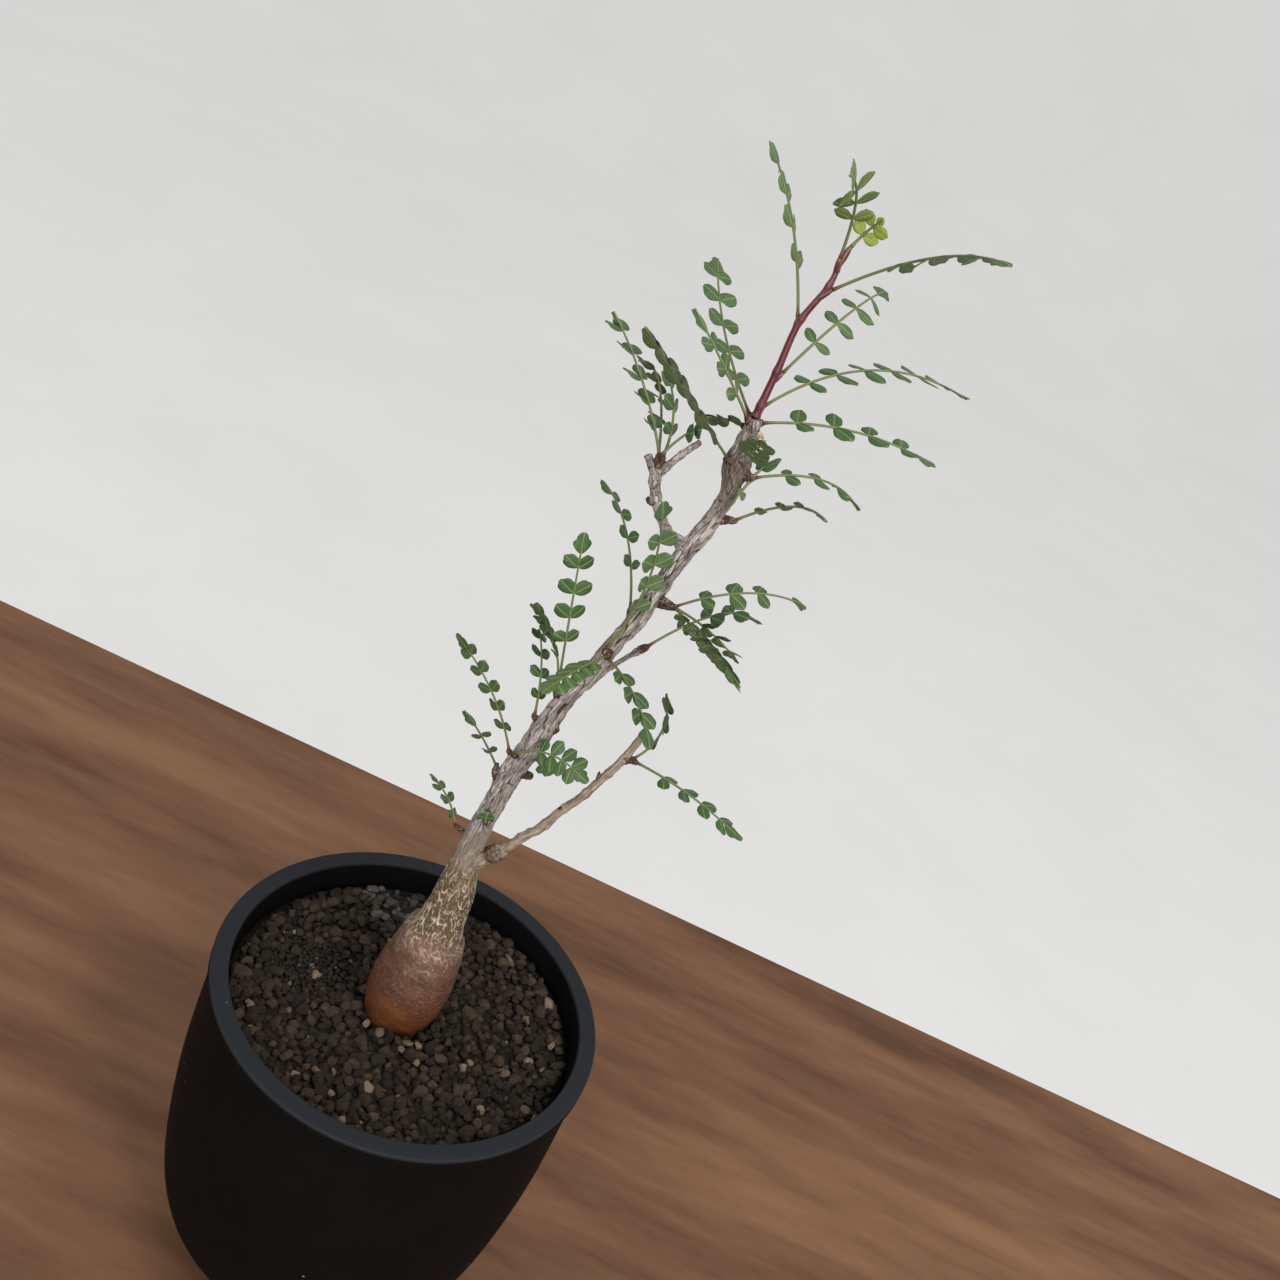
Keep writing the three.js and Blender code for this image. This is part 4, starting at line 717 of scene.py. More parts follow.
# Leaves: feather leaves with notched oval leaflets in pairs and a lobed one at the end, on a thin green
# stalk that is red at its foot, where it springs from its spur.
# Each row: name and stem; where it springs; the way it sets off and the way its tip points, [bearing,
# rise]; length. Below them the leaflets: pairs; shares of the first and last pair; length and half width
# as a share of that; spread, fold and twist; the way the upper side faces. A scratch program fitted the
# rows to the leaves in the photograph.
LEAVES = [
    ["leaf_shoot_1", "shoot", [24.0, 0.6, 429.0], [127, 51], [131, 24], 58.2,
     4, 0.28, 0.85, 6.8, 0.45, 53, 7, -15, [-4, 42]],
    ["leaf_shoot_2", "shoot", [27.6, -1.3, 448.7], [-113, 77], [-104, 5], 37.0,
     4, 0.33, 0.78, 6.4, 0.33, 76, -5, 0, [-88, 25]],
    ["leaf_shoot_3", "shoot", [29.6, -0.1, 439.9], [-5, 49], [-67, 5], 60.5,
     4, 0.34, 0.8, 6.2, 0.43, 96, -8, -19, [155, 58]],
    ["leaf_shoot_4", "shoot", [27.0, 2.0, 412.7], [46, 59], [77, -2], 55.5,
     4, 0.23, 0.75, 6.9, 0.25, 69, -21, 4, [-79, 56]],
    ["leaf_shoot_5", "shoot", [26.3, 2.6, 401.4], [51, 38], [29, -13], 79.0,
     6, 0.21, 0.85, 9.4, 0.25, 84, 0, 0, [-177, 76]],
    ["leaf_tip_young", "shoot", [29.1, 0.2, 452.3], [33, 68], [-67, 31], 12.5,
     2, 0.34, 0.64, 5.2, 0.4, 72, 4, 0, [-82, 20]],
    ["leaf_crown_1", "trunk", [28.4, 1.9, 397.0], [28, 18], [25, -13], 61.0,
     4, 0.17, 0.77, 7.6, 0.38, 68, 9, -10, [-114, 87]],
    ["leaf_crown_2", "trunk", [22.8, -2.0, 397.6], [-169, 44], [169, 35], 34.4,
     3, 0.22, 0.66, 6.7, 0.37, 69, 0, -5, [-10, 50]],
    ["leaf_crown_3", "trunk", [22.9, 2.4, 397.7], [132, 24], [108, 23], 65.2,
     5, 0.19, 0.86, 6.6, 0.45, 63, 7, -6, [-35, 64]],
    ["leaf_crown_4", "trunk", [22.2, 0.9, 393.9], [-133, 14], [-146, -13], 13.0,
     2, 0.4, 0.69, 6.1, 0.46, 86, -2, -32, [130, 58]],
    ["leaf_collar_1", "trunk", [22.7, -3.6, 384.5], [-123, 32], [-134, 36], 63.3,
     6, 0.26, 0.87, 7.5, 0.46, 62, 5, -22, [39, 55]],
    ["leaf_collar_2", "trunk", [23.1, -4.0, 384.1], [-66, 27], [-83, 41], 30.9,
     4, 0.48, 0.84, 5.0, 0.46, 56, -2, -4, [75, 51]],
    ["leaf_collar_3", "trunk", [32.9, 1.0, 380.9], [19, 29], [50, -37], 44.5,
     3, 0.21, 0.64, 6.2, 0.33, 59, -7, -6, [50, 86]],
    ["leaf_collar_4", "trunk", [31.8, -3.4, 380.8], [-133, -70], [-114, -56], 9.3,
     1, 0.48, 0.48, 5.5, 0.25, 84, -8, 10, [161, 6]],
    ["leaf_collar_5", "trunk", [32.1, -2.8, 382.2], [57, 50], [46, 46], 7.2,
     1, 0.47, 0.47, 7.2, 0.46, 48, 9, -11, [-166, 35]],
    ["leaf_branch_1", "left", [3.9, 0.0, 375.4], [174, 58], [160, 33], 44.0,
     5, 0.18, 0.86, 7.2, 0.46, 54, -13, 39, [-9, 44]],
    ["leaf_branch_2", "left", [3.6, 3.4, 374.1], [119, 50], [112, -25], 54.0,
     4, 0.22, 0.64, 5.1, 0.46, 85, -17, 46, [5, 57]],
    ["leaf_branch_3", "left", [5.2, 2.4, 374.8], [95, 77], [145, 27], 28.4,
     3, 0.24, 0.76, 6.4, 0.36, 66, 1, -14, [-8, 31]],
    ["leaf_branch_4", "left", [4.9, -0.6, 376.1], [38, 65], [11, 49], 14.9,
     2, 0.61, 0.8, 7.0, 0.45, 69, -4, -44, [176, 30]],
    ["leaf_trunk_1", "trunk", [15.1, 4.0, 323.0], [123, 50], [126, -4], 53.8,
     4, 0.26, 0.83, 5.8, 0.36, 67, 9, -22, [-5, 57]],
    ["leaf_trunk_2", "trunk", [14.0, -4.6, 310.5], [3, 77], [-125, 57], 61.9,
     4, 0.29, 0.73, 6.4, 0.46, 52, -10, -17, [135, 8]],
    ["leaf_trunk_3", "trunk", [4.7, -2.2, 287.7], [-126, 73], [165, 77], 59.1,
     4, 0.35, 0.8, 6.1, 0.45, 53, -2, -6, [-65, 0]],
    ["leaf_trunk_4", "trunk", [4.2, 2.2, 284.9], [113, 47], [151, 2], 33.9,
     4, 0.36, 0.8, 7.1, 0.45, 66, 0, 15, [31, 28]],
    ["leaf_trunk_5", "trunk", [0.9, 0.0, 274.5], [113, 55], [119, 14], 31.6,
     4, 0.17, 0.86, 5.1, 0.38, 50, -6, 4, [-25, 49]],
    ["leaf_trunk_6", "trunk", [14.5, -5.0, 308.2], [-115, -4], [-106, -6], 34.2,
     5, 0.21, 0.78, 5.6, 0.46, 62, -12, 12, [177, 74]],
    ["leaf_trunk_7", "trunk", [15.8, -4.0, 307.2], [-44, 3], [-64, -17], 39.6,
     3, 0.21, 0.65, 6.6, 0.43, 53, -5, 30, [14, 72]],
    ["leaf_trunk_8", "trunk", [28.0, 1.4, 331.4], [5, 46], [43, -20], 48.2,
     3, 0.18, 0.56, 6.3, 0.44, 54, -12, 4, [-108, 71]],
    ["leaf_trunk_9", "trunk", [28.2, 0, 331.5], [-25, 9], [-1, -31], 27.1,
     3, 0.41, 0.81, 7.2, 0.34, 66, 6, -25, [65, 45]],
    ["leaf_trunk_10", "trunk", [28.2, -2.6, 332.6], [-57, 9], [-61, 5], 49.5,
     5, 0.19, 0.76, 7.9, 0.36, 69, -5, -46, [42, 58]],
    ["leaf_trunk_11", "trunk", [33.4, 1.0, 366.5], [15, 46], [-69, 4], 36.2,
     4, 0.18, 0.78, 4.2, 0.4, 48, 5, 1, [103, 51]],
    ["leaf_twig", "twig", [25.7, 2.0, 314.7], [30, 51], [62, -33], 53.1,
     3, 0.24, 0.62, 6.0, 0.46, 78, 4, -39, [171, 73]],
    ["leaf_low_1", "trunk", [-2.4, 0.0, 257.3], [177, 61], [164, 21], 44.0,
     5, 0.18, 0.81, 5.7, 0.39, 62, 1, 7, [62, 18]],
    ["leaf_low_2", "trunk", [-3.7, 2.0, 246.8], [148, 30], [156, 16], 23.5,
     2, 0.26, 0.53, 6.1, 0.25, 77, 2, 22, [7, 63]],
    ["leaf_low_3", "trunk", [-9.5, 0.0, 219.4], [141, 46], [166, 11], 19.9,
     3, 0.16, 0.69, 6.0, 0.31, 74, -1, 1, [17, 53]],
    ["leaf_low_4", "trunk", [0.6, -5.6, 229.6], [-110, 58], [100, 70], 5.0,
     1, 0.52, 0.52, 3.6, 0.44, 70, 20, 0, [-90, 25]],
    ["leaf_low_5", "trunk", [0.6, -5.4, 260.2], [-20, 51], [-16, -23], 30.2,
     4, 0.35, 0.76, 5.8, 0.4, 68, 6, 0, [-80, 40]],
    ["leaf_low_6", "trunk", [7.1, 3.2, 255.8], [8, -5], [66, -13], 11.9,
     2, 0.35, 0.65, 6.2, 0.38, 86, -12, 12, [121, 29]],
    ["leaf_arm_1", "low", [37.2, -2.2, 276.5], [34, 42], [141, 42], 25.9,
     3, 0.3, 0.77, 7.7, 0.46, 67, 4, -20, [-179, 2]],
    ["leaf_arm_2", "low", [38.8, -5.2, 277.1], [-25, 13], [-11, -17], 43.0,
     4, 0.25, 0.78, 6.5, 0.37, 55, -2, 3, [47, 85]],
]
BLADE = 0.26
STALK = 0.46
STALK_STEPS = 24
STALK_SUNK = 0.1


def heading(way):
    """The unit direction (cos r cos b, cos r sin b, sin r) of a bearing and a rise in degrees."""
    b, r = np.radians(way)
    return np.array([np.cos(r) * np.cos(b), np.cos(r) * np.sin(b), np.sin(r)])


def stalk_line(root, set_off, tip_way, length):
    """The stalk from its foot, sunk a little in the spur: steps of even length whose direction turns evenly
    from the way it sets off to the way its tip points."""
    share = ((np.arange(STALK_STEPS) + 0.5) / STALK_STEPS)[:, None]
    way = (1 - share) * set_off + share * tip_way
    way *= length / STALK_STEPS / np.linalg.norm(way, axis=1, keepdims=True)
    start = np.asarray(root, float) - STALK_SUNK * set_off
    return np.vstack([start, start + np.cumsum(way, axis=0)])


def leaflet_grid(count):
    """Even cells on a disc, from a square of count x count cells: (x sqrt(1 - y^2/2), y sqrt(1 - x^2/2))."""
    line = np.linspace(-1, 1, count + 1)
    y, x = np.meshgrid(line, line, indexing="ij")
    return np.stack([x * np.sqrt(1 - y * y / 2), y * np.sqrt(1 - x * x / 2)], -1)


def leaflet(base, axis, across, up, length, wide, lobes, count, draw):
    """One leaflet as a closed thin blade on a grid of count cells each way. A disc (a, b) is scaled
    outwards by its lobes, 1 + depth (|cos(teeth f / 2)| - 0.8) near the tip with f the angle from the tip,
    and laid out with y = (b + 1)/2 of the length along and x = a times the half width, narrower at the
    base. The blade is bowed across, folded a little on its midrib and curled down at the tip."""
    disc = leaflet_grid(count)
    a, b = disc[..., 0], disc[..., 1]
    f = np.arctan2(a, b)
    rim = np.hypot(a, b)
    depth, teeth = lobes
    shift = draw.uniform(-0.35, 0.35)
    notch = depth * ease(b, -0.55, 0.45) * rim**4
    grow = 1 + notch * (np.abs(np.cos(teeth * f / 2 + shift)) - 0.8)
    a, b = a * grow, b * grow
    y = (b + 1) / 2
    narrow = 1 - 0.34 * np.clip((0.5 - y) / 0.5, 0, 1) ** 1.6
    x = a * wide * narrow + draw.uniform(-0.05, 0.05) * y**2
    fold = draw.uniform(0.0, 0.14)
    curl = draw.uniform(-0.06, 0.14)
    wave = 0.014 * np.sin(4 * y + 5 * a + draw.uniform(0, 6)) * rim**2
    lift = fold * np.abs(x) - 0.22 * x**2 / wide + wave - curl * y**2 - 0.04 * wide * np.exp(-(x / 0.07) ** 2)
    middle = base + length * (y[..., None] * axis + x[..., None] * across + lift[..., None] * up)
    dy = np.gradient(middle, axis=0)
    dx = np.gradient(middle, axis=1)
    normal = np.cross(dx, dy)
    normal /= np.maximum(np.linalg.norm(normal, axis=-1, keepdims=True), 1e-9)
    thin = (BLADE / 2) * (1 - 0.75 * np.clip(rim, 0, 1) ** 6)[..., None]
    n = (count + 1) ** 2
    points = np.vstack([(middle + thin * normal).reshape(-1, 3), (middle - thin * normal).reshape(-1, 3)])
    quads = band_faces(count + 1, count + 1, False)
    border = np.concatenate([np.arange(count), np.arange(count) * (count + 1) + count,
                             n - 1 - np.arange(count), (count - np.arange(count)) * (count + 1)])
    after = np.roll(border, -1)
    skirt = np.stack([border, border + n, after + n, after], -1)
    place = np.stack([0.5 + 0.5 * x / wide, y], -1).reshape(-1, 2)
    side = np.concatenate([np.ones(n), np.zeros(n)])
    return points, np.vstack([quads, quads[:, ::-1] + n, skirt]), np.vstack([place, place]), side


def leaf_finish():
    """Leaf green by leaf and leaflet: pale midrib and side veins with darker green between them, a dull
    grey wax bloom in soft clouds, a dark thin edge, and a paler grey-green underside."""
    finish, tree, shader = new_finish("leaf_green", 0.5, 0.28)
    place = add(tree, "SeparateXYZ", Vector=add(tree, "UVMap", {"uv_map": "blade"}).outputs["UV"])
    x = worked(tree, "ABSOLUTE", worked(tree, "SUBTRACT", place.outputs["X"], 0.5))
    spot = add(tree, "TexCoord").outputs["Object"]
    cloud = noise(tree, spot, 420.0, 4.0, 0.6)
    base = blend_by(tree, kept(tree, "tone"), [
        (0.0, (0.020, 0.052, 0.013)), (0.35, (0.038, 0.089, 0.019)), (0.6, (0.071, 0.132, 0.040)),
        (0.8, (0.130, 0.180, 0.045)), (1.0, (0.30, 0.37, 0.040))])
    shadow = mixed(tree, 0.5, base, (0.020, 0.044, 0.014))
    base = mixed(tree, worked(tree, "MULTIPLY_ADD", cloud, 1.6, -0.35), shadow, base)
    bloom = blend_by(tree, noise(tree, spot, 170.0, 2.0), [(0.5, 0), (0.75, 0.22)])
    base = mixed(tree, bloom, base, (0.17, 0.23, 0.14))
    edge = blend_by(tree, x, [(0.36, 0), (0.5, 1)])
    base = mixed(tree, worked(tree, "MULTIPLY", edge, 0.4), base, (0.020, 0.044, 0.018))
    slant = worked(tree, "SUBTRACT", place.outputs["Y"], worked(tree, "MULTIPLY", x, 0.7))
    side_vein = worked(tree, "PINGPONG", worked(tree, "MULTIPLY", slant, 7.0), 0.5)
    side_vein = worked(tree, "MULTIPLY", blend_by(tree, side_vein, [(0.0, 1), (0.12, 0)]),
                       blend_by(tree, x, [(0.0, 1), (0.42, 0)]))
    midrib = blend_by(tree, x, [(0.0, 1), (0.022, 0.8), (0.045, 0)])
    vein = worked(tree, "MAXIMUM", midrib, worked(tree, "MULTIPLY", side_vein, 0.45))
    base = mixed(tree, worked(tree, "MULTIPLY", vein, 0.6), base, (0.26, 0.31, 0.15))
    base = mixed(tree, kept(tree, "top"), mixed(tree, 0.2, base, (0.15, 0.19, 0.11)), base)
    height = worked(tree, "SUBTRACT", worked(tree, "MULTIPLY", cloud, 0.5), vein)
    cover(tree, shader, base, height, 0.45, 0.00025)
    return finish


def stalk_finish():
    """Leaf stalk: olive green with a short red-brown foot where it leaves its spur."""
    finish, tree, shader = new_finish("leaf_stalk", 0.5, 0.4)
    cloud = noise(tree, add(tree, "TexCoord").outputs["Object"], 260.0, 3.0)
    along = worked(tree, "ADD", kept(tree, "share"), worked(tree, "MULTIPLY_ADD", cloud, 0.06, -0.03))
    base = blend_by(tree, along, [(0.0, (0.080, 0.030, 0.018)), (0.025, (0.11, 0.060, 0.028)),
                                  (0.06, (0.120, 0.130, 0.048)), (1.0, (0.120, 0.165, 0.058))])
    tree.links.new(base, shader.inputs["Base Color"])
    return finish


def springs(line, along, share, faces):
    """Where a leaflet springs at a share of the stalk: the place, the way on, up and sideways."""
    k = share * STALK_STEPS
    i = min(int(k), STALK_STEPS - 1)
    base = line[i] + (line[i + 1] - line[i]) * (k - i)
    ahead = along[i] + (along[i + 1] - along[i]) * (k - i)
    ahead /= np.linalg.norm(ahead)
    up = heading(faces)
    up = up - (up @ ahead) * ahead
    up /= np.linalg.norm(up)
    return base, ahead, up, np.cross(ahead, up)


def side_leaflet(frame_at, hand, reach, wide, spread, fold, twist, draw):
    """A leaflet of a pair: turned out from the stalk by its spread, lifted by its fold and rolled on its
    own axis by its twist, each a few degrees off at random, with its upper side kept up."""
    base, ahead, up, sideways = frame_at
    turned_out = np.radians(spread + draw.uniform(-5, 5))
    folded = np.radians(fold + draw.uniform(-6, 6))
    outwards = np.cos(folded) * hand * sideways + np.sin(folded) * up
    axis = np.cos(turned_out) * ahead + np.sin(turned_out) * outwards
    across = ahead - (ahead @ axis) * axis
    across /= np.linalg.norm(across)
    rolled = hand * np.radians(twist + draw.uniform(-8, 8))
    across = np.cos(rolled) * across + np.sin(rolled) * np.cross(across, axis)
    normal = np.cross(across, axis)
    if normal @ up < 0:
        across, normal = -across, -normal
    lobes = (draw.uniform(0.05, 0.13), 6)
    return leaflet(base + 0.4 * STALK * axis, axis, across, normal, reach, wide, lobes, SIDE_CELLS, draw)


def end_leaflet(frame_at, length, draw):
    """The lobed leaflet at the tip of the stalk, in line with it."""
    base, ahead, up, sideways = frame_at
    across = sideways if np.cross(sideways, ahead) @ up > 0 else -sideways
    lobes = (0.34, 3) if length > 4 else (0.12, 3)
    return leaflet(base, ahead, across, np.cross(across, ahead), length, END_WIDE, lobes, END_CELLS, draw)


leaf_green = leaf_finish()
stalk_green = stalk_finish()
SIDE_CELLS, END_CELLS = 8, 12
END_WIDE = 0.42
# How pale a leaf is, where its height on the plant doesn't tell.
TONE = {"leaf_tip_young": 1.0, "leaf_shoot_1": 0.66, "leaf_shoot_2": 0.74, "leaf_shoot_3": 0.55,
        "leaf_trunk_6": 0.66, "leaf_collar_4": 0.75, "leaf_collar_5": 0.6, "leaf_low_1": 0.35,
        "leaf_low_2": 0.28, "leaf_low_3": 0.28}
for number, row in enumerate(LEAVES):
    name, stem_name, root, set_off, tip_way, length, pairs, first, last, size, wide, *turns_of, faces = row
    draw = np.random.default_rng(500 + number)
    line = stalk_line(root, heading(set_off), heading(tip_way), length)
    along = np.gradient(line, axis=0)
    along /= np.linalg.norm(along, axis=1, keepdims=True)
    by_height = 0.30 + 0.22 * np.clip((root[2] - 220) / 200, 0, 1) + draw.uniform(-0.05, 0.05)
    leaf_tone = TONE.get(name, by_height)
    share = np.linspace(0, 1, STALK_STEPS + 1)
    thick = STALK * (1 - 0.35 * share) + 0.16 * np.exp(-(share * length / 1.2) ** 2)
    c, o, s, t, r = limb(np.column_stack([line, thick]), 60, 8)
    points, quads, ends = closed_limb(c, o, r)
    fields = {"share": [with_ends(s / s[-1, 0])], "tone": [np.zeros(len(points))],
              "top": [np.ones(len(points))]}
    all_points, all_faces, blades = [points], [quads], [np.zeros((len(points), 2))]
    lobe_length = min(1.15 * size, length * (1 - last) - 1.6)
    places = [(d, hand) for d in np.linspace(first, last, pairs) for hand in (1, -1)]
    for d, hand in places + [(1 - lobe_length / length, 0)]:
        frame_at = springs(line, along, d, faces)
        if hand:
            share_along = (d - first) / (last - first) if last > first else 1.0
            reach = size * (0.72 + 0.28 * np.sin(np.pi * (0.15 + 0.6 * share_along)))
            reach *= draw.uniform(0.94, 1.06)
            p, f, uv, side = side_leaflet(frame_at, hand, reach, wide, *turns_of, draw)
        else:
            p, f, uv, side = end_leaflet(frame_at, lobe_length, draw)
        all_faces.append(f + sum(len(q) for q in all_points))
        all_points.append(p)
        blades.append(uv)
        fields["share"].append(np.ones(len(p)))
        fields["tone"].append(np.full(len(p), leaf_tone + draw.uniform(-0.06, 0.06)))
        fields["top"].append(side)
    on_blades = sum(map(len, all_faces[1:]))
    on_stalk = np.concatenate([np.ones(len(quads)), np.zeros(on_blades), np.ones(len(ends))])
    leaf = piece(name + "_blades", np.vstack(all_points), all_faces + [ends], [leaf_green, stalk_green],
                 [name], finish_of_face=on_stalk)
    for field, values in fields.items():
        note(leaf, field, np.concatenate(values))
    uv_map = leaf.data.uv_layers.new(name="blade")
    corner = np.zeros(len(leaf.data.loops), np.int32)
    leaf.data.loops.foreach_get("vertex_index", corner)
    uv_map.data.foreach_set("uv", np.vstack(blades)[corner].astype(np.float32).reshape(-1))

# Spurs and old leaf scars: short knuckles of brown scaly bark, smooth and red on the shoot, some of them
# bare with a dry bud. They grow out of the stem and carry the leaves.
STEMS = {"trunk": [(x, 0, z) for x, z, r in CAUDEX + TRUNK]}
for stem_name, stations in (("shoot", SHOOT), ("left", LEFT_BRANCH), ("twig", TWIG), ("low", LOW_BRANCH)):
    STEMS[stem_name] = [(x, y, z) for x, y, z, r in stations]
SPUR_SET_BACK = 4
SPUR_SHIFT = 30
LONG_LEAF = 25
BARE_SPURS = [
    [(-0.4, 0, 243, 2.2), (-3.4, 0, 246.6, 1.5), (-4.0, 0, 250.4, 0.5)],
    [(5.4, 0, 269, 2.2), (9.2, -0.3, 272.2, 1.5), (10.8, -0.3, 272.8, 0.9)],
    [(2.0, 0, 251, 2.4), (6.8, -1.0, 251.4, 1.6), (9.0, -1.2, 252.4, 1.1)],
    [(26.9, 0, 364, 1.8), (30.2, 0, 365.0, 1.3), (31.6, 0, 366.4, 0.9)],
    [(9.4, 1.4, 360.1, 1.4), (7.2, 1, 359.8, 0.9), (5.9, 0.8, 361.1, 0.8)],
    [(29.8, -3.2, 262.5, 1.2), (28.9, -3.4, 265.4, 0.6), (28.7, -3.4, 266.8, 0.35)],
    [(14.2, -1.5, 227.3, 1.4), (12.8, -1.7, 227.9, 0.8), (12.2, -1.8, 228.2, 0.5)],
    [(18.2, -2, 234.0, 1.4), (18.4, -2.2, 232.2, 0.9), (18.4, -2.2, 231.3, 0.6)],
    [(22.4, -2.4, 244.7, 1.3), (22.4, -3.2, 246.6, 0.9), (22.5, -3.6, 247.6, 0.6)],
]


def scaly(r, t, s, number, seed, pitch, ring, rise, bite):
    """Scaly bark: the radius grows like a saw tooth, 0.9 + rise . saw, over rings of the given length that
    wave round the stem, and gaps of the given bite part its scales. Returns the radius, how far each
    point lies in a gap, and the tone of its scale."""
    edge, tone = cells(t, s + SPUR_SHIFT * number, 6, pitch, seed + number)
    saw = (s / ring + 0.5 * np.sin(3 * t + number)) % 1.0
    gap = np.maximum(1 - ease(edge, 0.04, 0.28), 1 - ease(saw, 0.0, 0.2))
    return r * (0.90 + rise * saw) - bite * (1 - ease(edge, 0.05, 0.3)), gap, tone


def knuckle(root, set_off, stem_name, length):
    """Stations of the spur under a leaf, from the nearest point of its stem a little way behind the leaf's
    foot to the foot itself; a short leaf has a thinner one, and the shoot the thinnest."""
    stem_line = smooth_line(STEMS[stem_name], 400)
    foot = np.asarray(root, float)
    way = heading(set_off)
    start = stem_line[np.linalg.norm(stem_line - (foot - SPUR_SET_BACK * way), axis=1).argmin()]
    head = foot - 0.9 * way
    thickness = 0.66 if stem_name == "shoot" else 0.95 if length > LONG_LEAF else 0.78
    return [(*start, thickness * 1.5), (*(start + 0.6 * (head - start)), thickness * 1.35),
            (*head, thickness * 1.12), (*foot, thickness * 0.7)]


def spur_finish():
    """Scaly spur bark: rust brown scales with dark gaps and grey tips."""
    finish, tree, shader = new_finish("spur_bark", 0.85, 0.25)
    cloud = noise(tree, kept(tree, "straight", "Vector"), 800.0, 4.0, 0.6)
    shade = worked(tree, "ADD", worked(tree, "MULTIPLY", kept(tree, "plate"), 0.5),
                   worked(tree, "MULTIPLY", cloud, 0.5))
    base = blend_by(tree, shade, [(0.2, (0.040, 0.021, 0.013)), (0.5, (0.105, 0.062, 0.040)),
                                  (0.8, (0.25, 0.185, 0.145))])
    cover(tree, shader, mixed(tree, kept(tree, "crack"), base, (0.016, 0.008, 0.005)), cloud, 0.5, 0.0003)
    return finish


def cut_finish():
    """Bare cut wood: pale tan, clouded with brown."""
    finish, tree, shader = new_finish("cut_wood", 0.8, 0.25)
    cloud = noise(tree, add(tree, "TexCoord").outputs["Object"], 900.0, 4.0)
    base = blend_by(tree, cloud, [(0.35, (0.20, 0.135, 0.085)), (0.65, (0.50, 0.40, 0.29))])
    tree.links.new(base, shader.inputs["Base Color"])
    return finish


shoot_parts, shoot_fields = [], {"straight": [], "share": []}
spur_parts, spur_fields = [], {"crack": [], "plate": [], "straight": []}
for number, (name, stem_name, root, set_off, tip_way, length, *leaflets) in enumerate(LEAVES):
    c, o, s, t, r = limb(knuckle(root, set_off, stem_name, length), 34, 20)
    spot = np.stack([r * np.cos(t), r * np.sin(t), s + SPUR_SHIFT * number], -1)
    if stem_name == "shoot":
        shoot_parts.append((c, o, r))
        shoot_fields["straight"].append(spot * MM)
        shoot_fields["share"].append(TIP_GREEN * ease(s / s[-1, 0], 0.4, 1.0))
        continue
    radius, gap, tone = scaly(r, t, s, number, 300, 1.15, 1.05, 0.22, 0.16)
    spur_parts.append((c, o, radius))
    for field, values in (("crack", gap), ("plate", tone), ("straight", spot * MM)):
        spur_fields[field].append(values)
for number, stations in enumerate(BARE_SPURS):
    c, o, s, t, r = limb(stations, 40, 22)
    spot = np.stack([r * np.cos(t), r * np.sin(t), s + SPUR_SHIFT * (number + 30)], -1)
    radius, gap, tone = scaly(r, t, s, number, 400, 1.2, 1.1, 0.20, 0.12)
    end = np.sqrt(np.clip((s[-1, 0] - s) / 0.6, 0, 1))
    spur_parts.append((c, o, radius * np.maximum(end, 0.15)))
    for field, values in (("crack", gap), ("plate", tone), ("straight", spot * MM)):
        spur_fields[field].append(values)
joined(shoot_parts, "shoot_nodes", [rind], ["shoot"], list(shoot_fields.items()))
CROWN_CUT = [(28.95, -1.85, 393.55, 1.75), (29.15, -1.97, 393.76, 1.6), (29.35, -2.1, 393.95, 1.2)]
c, o, s, t, r = limb(CROWN_CUT, 8, 32)
joined([(c, o, r + 0.06 * np.sin(5 * t))], "crown_cut", [cut_finish()], ["wood"], [])
joined(spur_parts, "spurs", [spur_finish()], ["wood"], list(spur_fields.items()))

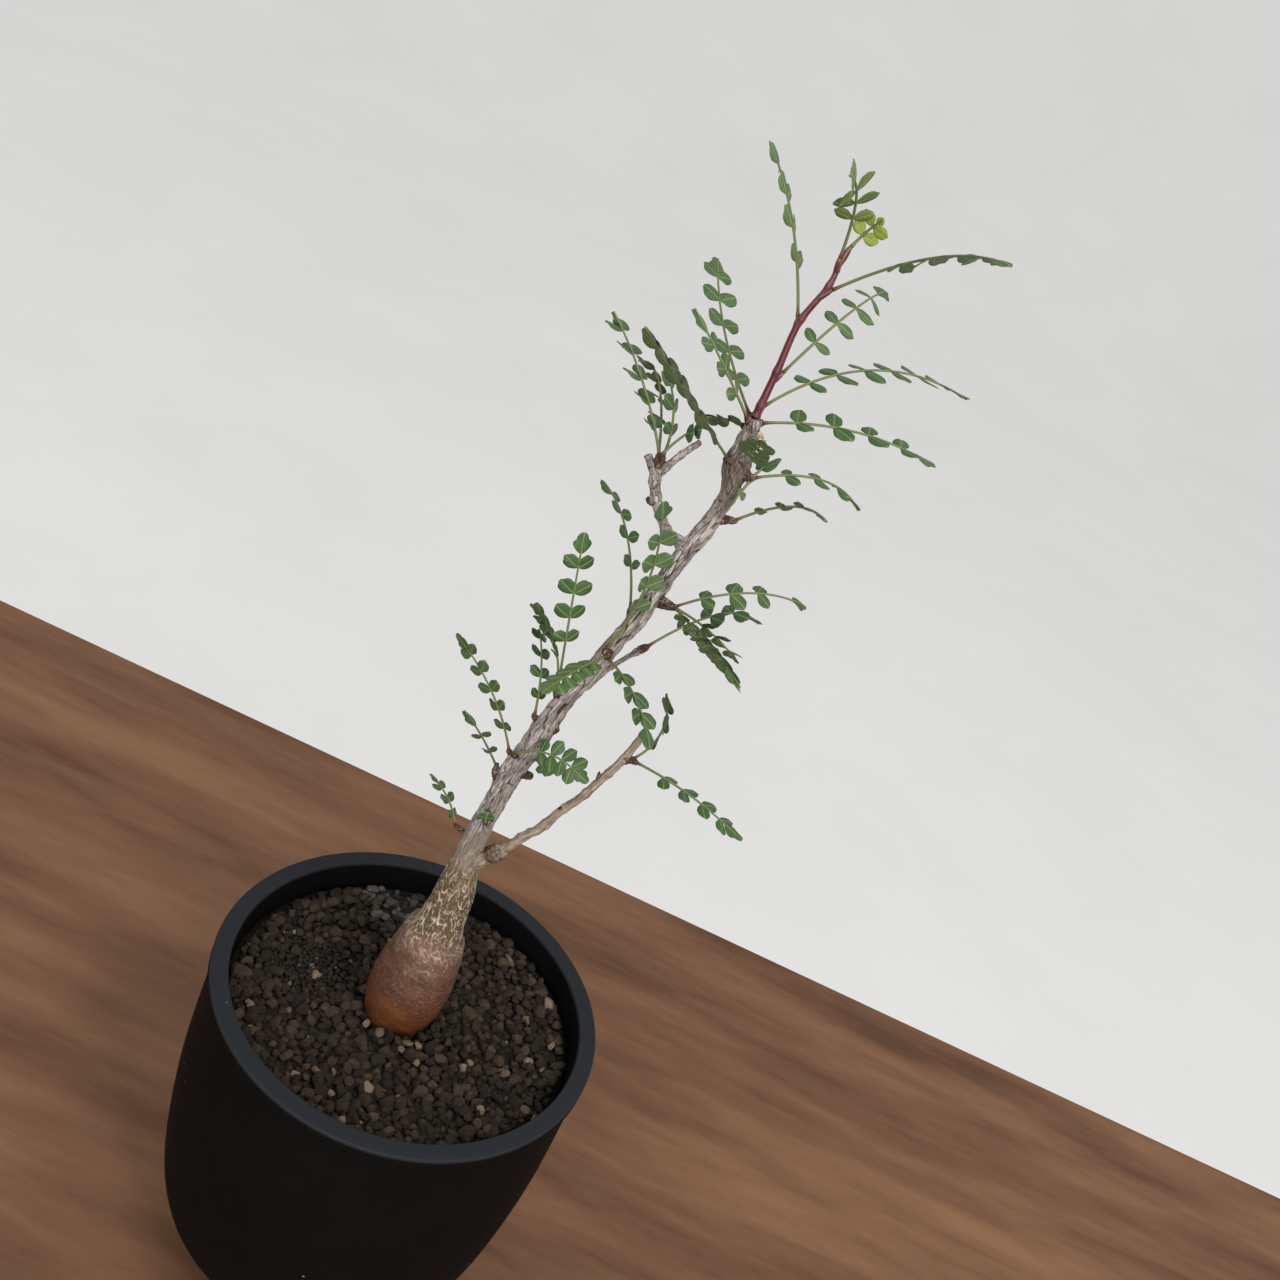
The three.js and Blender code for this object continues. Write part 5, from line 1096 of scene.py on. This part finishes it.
# Floor, light and camera: brown wood up to 295 mm behind the pot's axis, and behind it a white sheet that
# lies flat and rises far away, so that the pot can be seen from all sides. The sheet glows a little, so
# that it looks evenly lit.
FLOOR_END = 0.295
SHEET_START = 2.0
SHEET_BEND = 1.5
SIDEWAYS = 6.0
bend = np.linspace(0, np.pi / 2, 25)
rise = [(FLOOR_END, 0.0)]
rise += [(SHEET_START + SHEET_BEND * np.sin(a), SHEET_BEND - SHEET_BEND * np.cos(a)) for a in bend]
rise += [(SHEET_START + SHEET_BEND, 6.0)]
for name, line, stretch, glow, dark, light in (
        ("boards", [(-4.0, 0.0), (FLOOR_END, 0.0)], 6, 0.0, (0.085, 0.036, 0.016), (0.215, 0.105, 0.052)),
        ("white_sheet", rise, 1, 0.46, (0.24, 0.238, 0.234), (0.27, 0.27, 0.267))):
    sheet = bpy.data.meshes.new(name)
    sheet.from_pydata([(x, float(y), float(z)) for y, z in line for x in (-SIDEWAYS, SIDEWAYS)], [],
                      [(2 * k, 2 * k + 1, 2 * k + 3, 2 * k + 2) for k in range(len(line) - 1)])
    sheet.polygons.foreach_set("use_smooth", np.ones(len(line) - 1, bool))
    paint, tree, shader = new_finish(name, 0.7, 0.3)
    place = add(tree, "Mapping", Vector=add(tree, "TexCoord").outputs["Object"], Rotation=(0, 0, 0.75),
                Scale=(1, stretch, 1)).outputs["Vector"]
    base = blend_by(tree, noise(tree, place, 4.0, 6.0, 0.6), [(0.35, dark), (0.65, light)])
    tree.links.new(base, shader.inputs["Base Color"])
    shader.inputs["Emission Color"].default_value = rgba((1.0, 0.99, 0.97))
    shader.inputs["Emission Strength"].default_value = glow
    sheet.materials.append(paint)
    made = bpy.data.objects.new(name, sheet)
    bpy.context.scene.collection.objects.link(made)

world = bpy.data.worlds.new("studio")
bpy.context.scene.world = world
world.use_nodes = True
sky = world.node_tree.nodes["Background"]
sky.inputs["Color"].default_value = rgba((0.96, 0.975, 1.0))
sky.inputs["Strength"].default_value = 0.62


def soft_light(name, place, aim, size, power, colour):
    """A square lamp at a place, turned to face the aim; size in metres and power in watts."""
    lamp = bpy.data.lights.new(name, "AREA")
    lamp.shape = "SQUARE"
    lamp.size = size
    lamp.energy = power
    lamp.color = colour
    made = bpy.data.objects.new(name, lamp)
    made.location = place
    made.rotation_euler = (Vector(place) - Vector(aim)).to_track_quat("Z", "Y").to_euler()
    bpy.context.scene.collection.objects.link(made)


soft_light("key", (0.8, -0.7, 1.5), (0, 0, 0.25), 0.7, 20, (1.0, 0.98, 0.95))
soft_light("fill", (-1.2, -0.5, 0.9), (0, 0, 0.25), 1.0, 4, (0.95, 0.97, 1.0))
soft_light("front", (0.1, -1.6, 0.05), (0, 0, 0.36), 1.6, 44, (1.0, 1.0, 1.0))

PITCH, ROLL = np.radians(26.96), np.radians(25.06)
CAMERA_PLACE = (0.0223, -0.3730, 0.5058)
camera_data = bpy.data.cameras.new("camera")
camera_data.sensor_fit = "HORIZONTAL"
camera_data.sensor_width = 36.0
camera_data.lens = 36.84
camera_data.clip_start = 0.01
camera = bpy.data.objects.new("camera", camera_data)
bpy.context.scene.collection.objects.link(camera)
cp, sp, cr, sr = np.cos(PITCH), np.sin(PITCH), np.cos(ROLL), np.sin(ROLL)
right = (cr, sr * sp, sr * cp)
above = (-sr, cr * sp, cr * cp)
behind = (0, -cp, sp)
camera.matrix_world = Matrix([*zip(right, above, behind, CAMERA_PLACE), (0, 0, 0, 1)])
bpy.context.scene.camera = camera
bpy.context.scene.view_settings.view_transform = "Standard"
